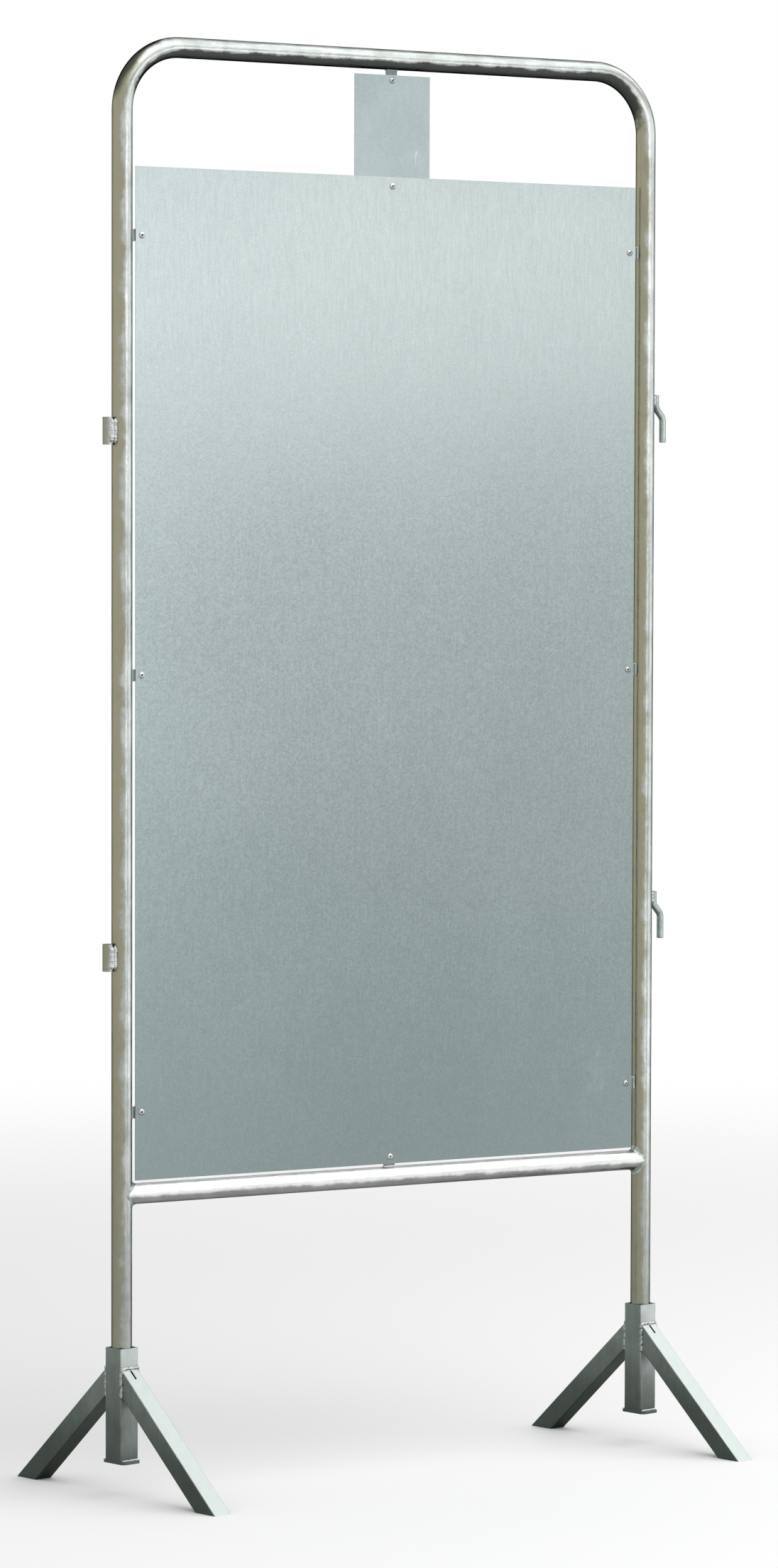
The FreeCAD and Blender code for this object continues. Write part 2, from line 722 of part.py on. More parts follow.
def make_feet():
    pieces = []
    stock = make_leg_stock()
    trim = make_leg_trim()
    for side, post in (("left", "-post_x"), ("right", "post_x")):
        pieces.append(make_socket(f"{side}_socket", post))
        pieces.append(make_base_plate(f"{side}_base_plate", post))
        for end, turn in (("front", "foot_turn"), ("rear", "rear_turn")):
            leg = doc.addObject("Part::Common", f"{side}_{end}_leg")
            leg.Base = stock
            leg.Tool = trim
            place(leg, x=post, turn=turn)
            pieces.append(leg)
    return pieces


nodes = [make_frame_tube(), make_lower_rail()]
nodes += make_tabs()
nodes += [make_panel_sheet(), make_number_plate()]
nodes += make_rivets()
nodes += [make_bush("upper_bush", "upper_bush_height"), make_bush("lower_bush", "lower_bush_height")]
nodes += [make_hook("upper_hook", "upper_hook_z"), make_hook("lower_hook", "lower_hook_z")]
nodes += make_feet()
doc.recompute()

for item in doc.Objects:
    if "Invalid" in item.State or "Error" in item.State:
        raise RuntimeError(f"{item.Label} did not solve")
for node in nodes:
    if node.Shape.isNull() or not node.Shape.isValid():
        raise RuntimeError(f"{node.Label} has no valid shape")

os.makedirs("parts", exist_ok=True)
for node in nodes:
    node.Shape.exportStep(f"parts/{node.Label}.step")
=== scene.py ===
import math

import bmesh
import bpy
from mathutils import Matrix, Vector


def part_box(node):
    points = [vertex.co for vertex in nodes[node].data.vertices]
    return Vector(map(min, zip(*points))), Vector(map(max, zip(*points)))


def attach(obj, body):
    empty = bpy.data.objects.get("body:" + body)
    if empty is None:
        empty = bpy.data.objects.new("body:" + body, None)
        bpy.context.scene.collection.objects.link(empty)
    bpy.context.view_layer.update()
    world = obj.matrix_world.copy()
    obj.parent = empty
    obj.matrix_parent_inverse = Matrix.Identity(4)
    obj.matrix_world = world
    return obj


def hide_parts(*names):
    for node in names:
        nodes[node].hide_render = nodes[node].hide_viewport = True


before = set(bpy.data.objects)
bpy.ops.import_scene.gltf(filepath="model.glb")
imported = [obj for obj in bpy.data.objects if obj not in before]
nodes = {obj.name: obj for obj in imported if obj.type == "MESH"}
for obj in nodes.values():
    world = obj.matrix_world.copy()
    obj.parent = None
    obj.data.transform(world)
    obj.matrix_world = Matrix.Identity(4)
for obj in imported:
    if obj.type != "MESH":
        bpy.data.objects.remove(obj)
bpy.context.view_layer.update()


def middle(node):
    low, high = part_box(node)
    return (low + high) / 2


# Sizes and places in metres, read off the solids where their boxes give them
SIDES = {"left": -1, "right": 1}
TAB_LEVELS = ("upper", "middle", "lower")
LINK_LEVELS = ("upper", "lower")
SQUARE = ((-1, -1), (1, -1), (1, 1), (-1, 1))
RIGHT = Vector((1, 0, 0))
BACK = Vector((0, 1, 0))
UP = Vector((0, 0, 1))
tube_low, tube_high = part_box("frame_tube")
tab_low, tab_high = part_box("bottom_tab")
sheet_low, sheet_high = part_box("panel_sheet")
plate_low, plate_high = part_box("number_plate")
RAIL_Z = middle("lower_rail").z
TUBE_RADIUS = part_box("lower_rail")[1].z - RAIL_Z
TUBE_WALL = 0.002
TUBE_SIDES = 64
BEND_RADIUS = 0.108
BEND_STEPS = 24
POST_X = tube_high.x - TUBE_RADIUS
POST_FOOT_Z = tube_low.z
CROWN_Z = tube_high.z - TUBE_RADIUS
COPE_RADIUS = tab_low.z - RAIL_Z
RAIL_END_X = POST_X - COPE_RADIUS
VENT_RADIUS = 0.003
VENT_SIDES = 24
VENT_INSET = 0.022
VENT_X = POST_X - TUBE_RADIUS - VENT_INSET
TAB_HALF_WIDTH = tab_high.x
TAB_HALF_THICK = tab_high.y
TAB_HEIGHTS = [middle("left_tab_" + level).z for level in TAB_LEVELS]
PLATE_THICKNESS = plate_high.y - plate_low.y
FOOT_TURN = math.radians(12)
SOCKET_HALF = 0.020
SOCKET_FOOT_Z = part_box("left_socket")[0].z
LEG_SIDE = 0.035
LEG_REACH = 0.240
LEG_TOP_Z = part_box("left_front_leg")[1].z
LEG_SLOPE = math.atan(LEG_TOP_Z / LEG_REACH)
SHARP_ANGLE = math.radians(35)
MERGE_DISTANCE = 1e-7


# Nodes
def put(tree, kind, inputs=None, **settings):
    """Adds a node, sets its options, and links or sets its inputs."""
    node = tree.nodes.new(kind)
    for option, value in settings.items():
        setattr(node, option, value)
    for key, value in (inputs or {}).items():
        if isinstance(value, bpy.types.NodeSocket):
            tree.links.new(value, node.inputs[key])
        else:
            node.inputs[key].default_value = value
    return node


def maths(tree, operation, *values, clamp=False):
    node = put(tree, "ShaderNodeMath", dict(enumerate(values)), operation=operation, use_clamp=clamp)
    return node.outputs[0]


def ramp(tree, value, low, high, to_low=0.0, to_high=1.0):
    """Takes a value from one range to another, smoothly and without running over."""
    node = put(
        tree, "ShaderNodeMapRange",
        {0: value, 1: low, 2: high, 3: to_low, 4: to_high}, interpolation_type="SMOOTHSTEP",
    )
    return node.outputs[0]


def blend_colour(tree, factor, first, second):
    node = put(tree, "ShaderNodeMix", {0: factor, 6: first, 7: second}, data_type="RGBA")
    return node.outputs[2]


def noise(tree, place, scale, detail=3.0, roughness=0.55):
    return put(
        tree, "ShaderNodeTexNoise",
        {"Vector": place, "Scale": scale, "Detail": detail, "Roughness": roughness},
    )


def opaque(tone):
    return (*tone, 1.0)


# Effects that the finishes share. A span is the range of a noise over which a mark comes or goes
NOISE_MIDDLE = 0.5
CRYSTAL_WARP = (0.004, 0.004, 0.004)
SPECK_SPAN = (0.985, 1.0)
CLOUD_SPAN = (0.30, 0.70)
GRAIN_SPAN = (0.25, 0.75)
STREAK_SPAN = (0.34, 0.68)
FINE_STREAK_SPAN = (0.36, 0.66)
FINE_STREAK_GAIN = 4.0
SWELL_SCALE_GAIN = 0.6
SWELL_STRETCH_GAIN = 5.0
SCRATCH_SLANT = (0.3, 0.7, 0.2)
SCRATCH_STRETCH = (1.0, 1.0, 0.10)
SCRATCH_SCALE_GAIN = 5.0
SCRATCH_SPAN = (0.003, 0.012)
PATCH_SPAN = (0.56, 0.72)
SMUDGE_SPAN = (0.42, 0.62)
SMUDGE_REACH = (1.0, 0.2)


def shared_group(name, inputs, outputs, output_kind="NodeSocketFloat"):
    """A shader node group with named sockets. Returns the tree, its inputs and its outlet."""
    tree = bpy.data.node_groups.new(name, "ShaderNodeTree")
    for label, kind, value in inputs:
        socket = tree.interface.new_socket(label, in_out="INPUT", socket_type=kind)
        if value is not None:
            socket.default_value = value
    for label in outputs:
        tree.interface.new_socket(label, in_out="OUTPUT", socket_type=output_kind)
    return tree, tree.nodes.new("NodeGroupInput").outputs, tree.nodes.new("NodeGroupOutput").inputs


def make_zinc_bloom():
    """Zinc crystals, the clouds that they weather into, a fine grain and a few bright specks that are painted
    glints.
    """
    tree, given, result = shared_group(
        "zinc_bloom",
        (("Vector", "NodeSocketVector", None), ("Crystal Scale", "NodeSocketFloat", 90.0),
         ("Cloud Scale", "NodeSocketFloat", 7.0), ("Grain Scale", "NodeSocketFloat", 900.0)),
        ("Crystal", "Cloud", "Grain", "Glint"),
    )
    warp = noise(tree, given["Vector"], given["Crystal Scale"], detail=2.0)
    shifted = put(
        tree, "ShaderNodeVectorMath",
        {0: warp.outputs["Color"], 1: CRYSTAL_WARP, 2: given["Vector"]}, operation="MULTIPLY_ADD",
    )
    cells = put(tree, "ShaderNodeTexVoronoi", {"Vector": shifted.outputs[0], "Scale": given["Crystal Scale"]})
    tone = put(tree, "ShaderNodeSeparateColor", {0: cells.outputs["Color"]})
    cloud = noise(tree, given["Vector"], given["Cloud Scale"], detail=5.0, roughness=0.62)
    grain = noise(tree, given["Vector"], given["Grain Scale"], detail=2.0)
    tree.links.new(tone.outputs[0], result["Crystal"])
    tree.links.new(ramp(tree, tone.outputs[1], *SPECK_SPAN), result["Glint"])
    tree.links.new(ramp(tree, cloud.outputs[0], *CLOUD_SPAN), result["Cloud"])
    tree.links.new(ramp(tree, grain.outputs[0], *GRAIN_SPAN), result["Grain"])
    return tree


def make_run_marks():
    """Long soft streaks along the third axis, as zinc and rain leave them, and the zinc's thick and thin."""
    tree, given, result = shared_group(
        "run_marks",
        (("Vector", "NodeSocketVector", None), ("Scale", "NodeSocketFloat", 150.0),
         ("Stretch", "NodeSocketFloat", 0.06)),
        ("Streak", "Fine Streak", "Swell"),
    )

    def drawn_out(stretch, scale, detail):
        squeeze = put(tree, "ShaderNodeCombineXYZ", {0: 1.0, 1: 1.0, 2: stretch})
        long_way = put(
            tree, "ShaderNodeVectorMath", {0: given["Vector"], 1: squeeze.outputs[0]}, operation="MULTIPLY",
        )
        return noise(tree, long_way.outputs[0], scale, detail, roughness=0.6).outputs[0]

    broad = drawn_out(given["Stretch"], given["Scale"], detail=4.0)
    finer = maths(tree, "MULTIPLY", given["Scale"], FINE_STREAK_GAIN)
    fine = drawn_out(given["Stretch"], finer, detail=3.0)
    shorter = maths(tree, "MULTIPLY", given["Stretch"], SWELL_STRETCH_GAIN)
    broader = maths(tree, "MULTIPLY", given["Scale"], SWELL_SCALE_GAIN)
    thick = drawn_out(shorter, broader, detail=2.0)
    tree.links.new(ramp(tree, broad, *STREAK_SPAN), result["Streak"])
    tree.links.new(ramp(tree, fine, *FINE_STREAK_SPAN), result["Fine Streak"])
    tree.links.new(thick, result["Swell"])
    return tree


def make_rub_marks():
    """Thin scratches and rubbed patches from stacking and carrying, strongest round one place."""
    tree, given, result = shared_group(
        "rub_marks",
        (("Vector", "NodeSocketVector", None), ("Scale", "NodeSocketFloat", 12.0),
         ("Amount", "NodeSocketFloat", 0.3), ("Centre", "NodeSocketVector", (0.0, 0.0, 0.0)),
         ("Reach", "NodeSocketFloat", 0.1)),
        ("Scratch", "Rub"),
    )
    slant = put(
        tree, "ShaderNodeMapping",
        {"Vector": given["Vector"], "Rotation": SCRATCH_SLANT, "Scale": SCRATCH_STRETCH},
    )
    finer = maths(tree, "MULTIPLY", given["Scale"], SCRATCH_SCALE_GAIN)
    lines = noise(tree, slant.outputs[0], finer, detail=1.0)
    off_line = maths(tree, "ABSOLUTE", maths(tree, "SUBTRACT", lines.outputs[0], NOISE_MIDDLE))
    thin = ramp(tree, off_line, *SCRATCH_SPAN, 1.0, 0.0)
    where = noise(tree, given["Vector"], given["Scale"], detail=3.0)
    patch = ramp(tree, where.outputs[0], *PATCH_SPAN)
    away = put(tree, "ShaderNodeVectorMath", {0: given["Vector"], 1: given["Centre"]}, operation="DISTANCE")
    share = maths(tree, "DIVIDE", away.outputs["Value"], given["Reach"])
    near = ramp(tree, share, *SMUDGE_REACH)
    smudge = maths(tree, "MULTIPLY", near, ramp(tree, where.outputs[0], *SMUDGE_SPAN))
    pale_marks = maths(tree, "MULTIPLY_ADD", patch, given["Amount"], smudge, clamp=True)
    tree.links.new(maths(tree, "MULTIPLY", thin, pale_marks), result["Scratch"])
    tree.links.new(pale_marks, result["Rub"])
    return tree


# How a face has to be turned for each painted light and shade and for the dirt underneath, from where it
# starts to where it is full, and how far its edge wanders
LEFT_TURN = (-0.12, -0.62)
LEFT_AND_UP_TURN = (-0.10, -0.34)
BACK_TURN = (0.12, 0.5)
PAINTED_LIGHT_TURN = (0.35, 0.95)
UPRIGHT_TURN = (0.6, 0.2)
UNDER_TURN = (-0.08, -0.35)
LEFT_WANDER = 0.5
LEFT_AND_UP_WANDER = 0.1
PAINTED_LIGHT_WANDER = 0.15
LOW_SHADE_WANDER = 0.1
UNDER_WANDER = 0.25
PAINTED_LIGHT_SIDE = (0.2, -0.76, 0.62)
SHADE_SHARE = 0.75


def make_painted_light_and_dirt():
    """Light and shade painted into a finish's colour, and dirt underneath: a painted olive shade, a
    reflection of dim surroundings, on faces turned to the left, with darker painted shade where they also
    face up or back; painted light on faces to the front and top; painted shade that darkens towards the
    bottom; and painted shade with dirt underneath. Wander makes their edges ragged."""
    tree, given, result = shared_group(
        "painted_light_and_dirt",
        (("Color", "NodeSocketColor", None), ("Wander", "NodeSocketFloat", 0.5),
         ("Shade And Dirt", "NodeSocketColor", None), ("Shade And Dirt Share", "NodeSocketFloat", 0.0),
         ("Left Shade", "NodeSocketColor", None), ("Left Shade Share", "NodeSocketFloat", 0.0),
         ("Painted Light", "NodeSocketColor", None), ("Painted Light Share", "NodeSocketFloat", 0.0),
         ("Low Shade", "NodeSocketColor", None), ("Low Shade Share", "NodeSocketFloat", 0.0),
         ("Low Shade Foot", "NodeSocketFloat", 0.0), ("Low Shade Height", "NodeSocketFloat", 1.0)),
        ("Color",), "NodeSocketColor",
    )
    texture = tree.nodes.new("ShaderNodeTexCoord").outputs
    facing = put(tree, "ShaderNodeSeparateXYZ", {0: texture["Normal"]}).outputs
    place = put(tree, "ShaderNodeSeparateXYZ", {0: texture["Object"]}).outputs
    drift = maths(tree, "SUBTRACT", given["Wander"], NOISE_MIDDLE)

    def ragged(value, amount):
        return maths(tree, "MULTIPLY_ADD", drift, amount, value)

    # Painted olive shade, a reflection of dim surroundings, on faces turned to the left
    left = ramp(tree, ragged(facing[0], LEFT_WANDER), *LEFT_TURN, 0.0, given["Left Shade Share"])
    colour = blend_colour(tree, left, given["Color"], given["Left Shade"])
    # Darker painted shade on faces to the left that also face up or back
    left_and_up = maths(tree, "MULTIPLY", facing[0], facing[2])
    left_top_shade = ramp(tree, ragged(left_and_up, LEFT_AND_UP_WANDER), *LEFT_AND_UP_TURN, 0.0, given["Left Shade Share"])
    shaded = maths(tree, "MULTIPLY", left, ramp(tree, facing[1], *BACK_TURN, 0.0, SHADE_SHARE))
    colour = blend_colour(tree, maths(tree, "MAXIMUM", left_top_shade, shaded), colour, given["Shade And Dirt"])
    # Painted light on faces to the front and top
    light_facing = put(
        tree, "ShaderNodeVectorMath", {0: texture["Normal"], 1: PAINTED_LIGHT_SIDE}, operation="DOT_PRODUCT",
    )
    toward_light = ragged(light_facing.outputs["Value"], PAINTED_LIGHT_WANDER)
    painted_lit = ramp(tree, toward_light, *PAINTED_LIGHT_TURN, 0.0, given["Painted Light Share"])
    colour = blend_colour(tree, painted_lit, colour, given["Painted Light"])
    # Painted shade that darkens upright faces towards the bottom
    band = maths(tree, "SUBTRACT", given["Low Shade Height"], given["Low Shade Foot"])
    height = ragged(place[2], maths(tree, "MULTIPLY", band, LOW_SHADE_WANDER))
    darkened_low = ramp(tree, height, given["Low Shade Foot"], given["Low Shade Height"], given["Low Shade Share"], 0.0)
    upright = ramp(tree, facing[2], *UPRIGHT_TURN)
    colour = blend_colour(tree, maths(tree, "MULTIPLY", darkened_low, upright), colour, given["Low Shade"])
    # Painted shade, with some dirt, on faces that turn downwards
    under = ramp(tree, ragged(facing[2], UNDER_WANDER), *UNDER_TURN, 0.0, given["Shade And Dirt Share"])
    tree.links.new(blend_colour(tree, under, colour, given["Shade And Dirt"]), result["Color"])
    return tree


ZINC_BLOOM = make_zinc_bloom()
RUN_MARKS = make_run_marks()
RUB_MARKS = make_rub_marks()
PAINTED_LIGHT_AND_DIRT = make_painted_light_and_dirt()

# How strongly the marks show in a finish's tone, roughness and relief
CHALK_GAIN = 1.4
CHALK_LIMIT = 0.9
SHADE_AND_DIRT_GAIN = 0.14
RUB_SHARE = 0.15
SCRATCH_SHARE = 0.8
PAINTED_GLINT_SHARE = 0.12
LEFT_SHADE_SHARE = 0.9
PAINTED_LIGHT_SHARE = 0.9
CRYSTAL_ROUGHNESS = 0.04
RUB_ROUGHNESS = 0.06
SCRATCH_RELIEF = -0.6


def use_group(tree, group, inputs):
    return put(tree, "ShaderNodeGroup", inputs, node_tree=group).outputs


def galvanised(
    name, deep, pale, rough, along_tube=False, metallic=1.0, rim=1.0, crystal=(90.0, 0.2), cloud=(7.0, 0.4),
    streak=0.3, grain=0.1, under_shade_and_dirt=0.5, lit_tone=None, left_shade=None, low_shade=None, rub=0.1,
    rub_centre=(0.0, 0.0, -1.0), rub_reach=0.1, swell=0.0004, fine=0.00003,
):
    """Zinc-coated steel between a deep and a pale tone, with an oxide skin that dulls its rim. Crystal and
    cloud are a scale and a share of the tone. Four arguments paint light and shade into the colour: a share
    of painted shade with some dirt underneath, the tone of painted light on faces to the front and top, the
    tone of painted olive shade on faces turned to the left, and, for painted shade that darkens towards the
    bottom, two heights, a share and a tone. Rub is the share of worn patches, besides the one within
    rub_reach of rub_centre. Swell and fine are the heights in metres of the zinc's thick and thin and of its
    grain."""
    material = bpy.data.materials.new(name)
    material.use_nodes = True
    tree = material.node_tree
    shader = tree.nodes["Principled BSDF"]
    shader.inputs["Metallic"].default_value = metallic
    shader.inputs["Specular Tint"].default_value = (rim, rim, rim, 1.0)
    if along_tube:
        place = put(tree, "ShaderNodeAttribute", attribute_name="lay").outputs["Vector"]
    else:
        place = tree.nodes.new("ShaderNodeTexCoord").outputs["Object"]
    bloom = use_group(
        tree, ZINC_BLOOM, {"Vector": place, "Crystal Scale": crystal[0], "Cloud Scale": cloud[0]},
    )
    runs = use_group(tree, RUN_MARKS, {"Vector": place})
    rubs = use_group(
        tree, RUB_MARKS, {"Vector": place, "Amount": rub, "Centre": rub_centre, "Reach": rub_reach},
    )
    tone = maths(tree, "MULTIPLY", bloom["Crystal"], crystal[1])
    tone = maths(tree, "MULTIPLY_ADD", bloom["Cloud"], cloud[1], tone)
    tone = maths(tree, "MULTIPLY_ADD", runs["Streak"], streak, tone)
    tone = maths(tree, "MULTIPLY_ADD", bloom["Grain"], grain, tone)
    colour = blend_colour(tree, tone, opaque(deep), opaque(pale))
    chalky = [min(CHALK_LIMIT, channel * CHALK_GAIN) for channel in pale]
    scratched = maths(tree, "MULTIPLY", rubs["Scratch"], SCRATCH_SHARE)
    pale_marks = maths(tree, "MULTIPLY_ADD", rubs["Rub"], RUB_SHARE, scratched)
    # Bright specks of painted glint turn pale with the worn marks
    pale_marks = maths(tree, "MULTIPLY_ADD", bloom["Glint"], PAINTED_GLINT_SHARE, pale_marks, clamp=True)
    colour = blend_colour(tree, pale_marks, colour, opaque(chalky))
    # A dark tone for painted shade and dirt
    shade_and_dirt = [channel * SHADE_AND_DIRT_GAIN for channel in deep]
    light_shade_and_dirt = {"Color": colour, "Wander": bloom["Cloud"], "Shade And Dirt": opaque(shade_and_dirt), "Shade And Dirt Share": under_shade_and_dirt}
    # The olive tone of painted shade on faces turned to the left
    if left_shade:
        light_shade_and_dirt |= {"Left Shade": opaque(left_shade), "Left Shade Share": LEFT_SHADE_SHARE}
    # The tone of painted light on faces to the front and top
    if lit_tone:
        light_shade_and_dirt |= {"Painted Light": opaque(lit_tone), "Painted Light Share": PAINTED_LIGHT_SHARE}
    # Heights, share and tone of painted shade towards the bottom
    if low_shade:
        foot, top, share, low_shade_tone = low_shade
        light_shade_and_dirt |= {"Low Shade": opaque(low_shade_tone), "Low Shade Share": share, "Low Shade Foot": foot, "Low Shade Height": top}
    with_light_and_dirt = use_group(tree, PAINTED_LIGHT_AND_DIRT, light_shade_and_dirt)
    tree.links.new(with_light_and_dirt["Color"], shader.inputs["Base Color"])
    roughness = ramp(tree, runs["Fine Streak"], 0.0, 1.0, *rough)
    roughness = maths(tree, "MULTIPLY_ADD", bloom["Crystal"], CRYSTAL_ROUGHNESS, roughness)
    roughness = maths(tree, "MULTIPLY_ADD", rubs["Rub"], RUB_ROUGHNESS, roughness, clamp=True)
    tree.links.new(roughness, shader.inputs["Roughness"])
    waves = put(tree, "ShaderNodeBump", {"Strength": 1.0, "Distance": swell, "Height": runs["Swell"]})
    height = maths(tree, "MULTIPLY_ADD", rubs["Scratch"], SCRATCH_RELIEF, bloom["Grain"])
    relief = put(
        tree, "ShaderNodeBump",
        {"Strength": 1.0, "Distance": fine, "Height": height, "Normal": waves.outputs[0]},
    )
    tree.links.new(relief.outputs[0], shader.inputs["Normal"])
    return material


# Finishes
# Its olive tone on faces to the left, its darkening towards the bottom and most of its dark underside are
# painted shade; the underside also has some dirt
TUBE_FINISH = galvanised(
    "galvanised_tube", (0.29, 0.315, 0.30), (0.54, 0.57, 0.555), (0.18, 0.30), along_tube=True, rim=0.12,
    crystal=(90.0, 0.05), streak=0.45, cloud=(24.0, 0.4), under_shade_and_dirt=0.96, left_shade=(0.30, 0.285, 0.19), rub=0.05,
    low_shade=(0.2, 0.85, 0.5, (0.19, 0.20, 0.17)), swell=0.0007,
)
# A paler copy of the tube's finish, painted lighter, with more painted light on faces to the front and top
RAIL_FINISH = galvanised(
    "galvanised_rail", (0.40, 0.42, 0.41), (0.64, 0.66, 0.65), (0.18, 0.30), along_tube=True, rim=0.3,
    crystal=(90.0, 0.05), streak=0.45, cloud=(24.0, 0.4), under_shade_and_dirt=0.55, lit_tone=(0.79, 0.79, 0.77), rub=0.05,
    swell=0.0007,
)
# Its olive tone on faces to the left is painted shade
BUSH_FINISH = galvanised(
    "galvanised_bush", (0.25, 0.27, 0.25), (0.48, 0.51, 0.49), (0.20, 0.30), rim=0.3, crystal=(120.0, 0.1),
    cloud=(60.0, 0.5), left_shade=(0.27, 0.265, 0.19),
)
BAR_FINISH = galvanised(
    "galvanised_bar", (0.23, 0.275, 0.25), (0.47, 0.52, 0.49), (0.18, 0.28), rim=0.25, crystal=(120.0, 0.1),
    cloud=(60.0, 0.4),
)
# Darker than the sheet: painted shade
TAB_FINISH = galvanised(
    "galvanised_tab", (0.12, 0.14, 0.143), (0.22, 0.25, 0.252), (0.34, 0.46), cloud=(60.0, 0.4),
)
# Painted shade darkens it towards the bottom
SHEET_FINISH = galvanised(
    "galvanised_sheet", (0.255, 0.300, 0.303), (0.389, 0.454, 0.455), (0.22, 0.26), crystal=(330.0, 0.3),
    cloud=(2.6, 0.1), streak=0.03, grain=0.25, under_shade_and_dirt=0.0, low_shade=(0.45, 1.4, 0.65, (0.165, 0.215, 0.212)),
    rub=0.0, rub_centre=(0.39, -0.004, 0.655), rub_reach=0.09, swell=0.0, fine=0.000003,
)
PLATE_FINISH = galvanised(
    "galvanised_plate", (0.225, 0.275, 0.282), (0.345, 0.410, 0.418), (0.29, 0.34), crystal=(330.0, 0.25),
    cloud=(5.0, 0.3), streak=0.03, grain=0.25, under_shade_and_dirt=0.0, rub=0.0, rub_centre=(0.045, -0.0025, 2.268),
    rub_reach=0.035, swell=0.0, fine=0.00001,
)
# Its deep tones are painted shade for the side faces, with painted light on faces to the front and top and
# painted shade darker towards the bottom
FOOT_FINISH = galvanised(
    "galvanised_foot", (0.135, 0.165, 0.148), (0.215, 0.255, 0.232), (0.46, 0.56), rim=0.6,
    crystal=(150.0, 0.1), cloud=(14.0, 0.5), streak=0.25, grain=0.15, under_shade_and_dirt=0.5, lit_tone=(0.55, 0.60, 0.585),
    low_shade=(0.04, 0.24, 0.85, (0.05, 0.062, 0.052)), swell=0.0001,
)
WELD_FINISH = galvanised(
    "weld_bead", (0.42, 0.44, 0.43), (0.66, 0.68, 0.67), (0.30, 0.42), metallic=0.6, crystal=(300.0, 0.2),
    cloud=(90.0, 0.4), under_shade_and_dirt=0.6,
)
# With painted light on faces to the front and top
FOOT_WELD_FINISH = galvanised(
    "foot_weld", (0.20, 0.235, 0.22), (0.38, 0.42, 0.40), (0.30, 0.42), crystal=(300.0, 0.2),
    cloud=(90.0, 0.4), under_shade_and_dirt=0.6, lit_tone=(0.45, 0.47, 0.46),
)
RIVET_FINISH = galvanised(
    "rivet_alloy", (0.40, 0.42, 0.41), (0.60, 0.62, 0.61), (0.22, 0.32), rim=0.4, under_shade_and_dirt=0.6, swell=0.0,
)
# Near black: painted shade in the rivet's hollow
STEM_FINISH = galvanised("rivet_stem", (0.03, 0.03, 0.028), (0.08, 0.078, 0.07), (0.5, 0.65), metallic=0.6)


# Node trees that grow pieces
def geometry_tree(name, sizes):
    """A geometry node tree with named inputs. Returns the tree, its inputs and its outlet."""
    tree = bpy.data.node_groups.new(name, "GeometryNodeTree")
    tree.interface.new_socket("Geometry", in_out="INPUT", socket_type="NodeSocketGeometry")
    for label, kind in sizes:
        tree.interface.new_socket(label, in_out="INPUT", socket_type=kind)
    tree.interface.new_socket("Geometry", in_out="OUTPUT", socket_type="NodeSocketGeometry")
    return tree, tree.nodes.new("NodeGroupInput").outputs, tree.nodes.new("NodeGroupOutput").inputs


def close_tree(tree, geometry, material, outlet):
    """Ends a tree with smooth faces, whole meshes and their material."""
    smooth = put(tree, "GeometryNodeSetShadeSmooth", {"Geometry": geometry})
    real = put(tree, "GeometryNodeRealizeInstances", {0: smooth.outputs[0]})
    dressed = put(tree, "GeometryNodeSetMaterial", {"Geometry": real.outputs[0], "Material": material})
    tree.links.new(dressed.outputs[0], outlet[0])


def make_bent_tube_tree():
    """A round tube along a path whose corners are bent to a radius. It keeps where each point lies
    around and along the tube in an attribute, for streaks that follow the tube."""
    tree, given, outlet = geometry_tree(
        "bent_tube",
        (("Radius", "NodeSocketFloat"), ("Bend Radius", "NodeSocketFloat"), ("Bend Steps", "NodeSocketInt"),
         ("Sides", "NodeSocketInt"), ("Material", "NodeSocketMaterial")),
    )
    path = put(tree, "GeometryNodeMeshToCurve", {"Mesh": given["Geometry"]})
    bent = put(
        tree, "GeometryNodeFilletCurve",
        {"Curve": path.outputs[0], "Count": given["Bend Steps"], "Radius": given["Bend Radius"],
         "Limit Radius": True},
        mode="POLY",
    )
    along = put(
        tree, "GeometryNodeStoreNamedAttribute",
        {"Geometry": bent.outputs[0], "Name": "along",
         "Value": tree.nodes.new("GeometryNodeSplineParameter").outputs["Length"]},
    )
    ring = put(
        tree, "GeometryNodeCurvePrimitiveCircle",
        {"Resolution": given["Sides"], "Radius": given["Radius"]},
    )
    around = put(
        tree, "GeometryNodeStoreNamedAttribute",
        {"Geometry": ring.outputs[0], "Name": "around",
         "Value": tree.nodes.new("GeometryNodeInputPosition").outputs[0]},
        data_type="FLOAT_VECTOR",
    )
    tube = put(
        tree, "GeometryNodeCurveToMesh",
        {"Curve": along.outputs[0], "Profile Curve": around.outputs[0], "Scale": 1.0},
    )
    spot = put(tree, "GeometryNodeInputNamedAttribute", {"Name": "around"}, data_type="FLOAT_VECTOR")
    spot_parts = put(tree, "ShaderNodeSeparateXYZ", {0: spot.outputs[0]})
    run = put(tree, "GeometryNodeInputNamedAttribute", {"Name": "along"}, data_type="FLOAT")
    lay = put(
        tree, "ShaderNodeCombineXYZ", {0: spot_parts.outputs[0], 1: spot_parts.outputs[1], 2: run.outputs[0]},
    )
    laid = put(
        tree, "GeometryNodeStoreNamedAttribute",
        {"Geometry": tube.outputs[0], "Name": "lay", "Value": lay.outputs[0]}, data_type="FLOAT_VECTOR",
    )
    close_tree(tree, laid.outputs[0], given["Material"], outlet)
    return tree


STEPS_PER_RIPPLE = 6.0
RIPPLE_SWAY = 1.2
SWAY_SCALE = 110.0
LUMP_SCALE = 150.0


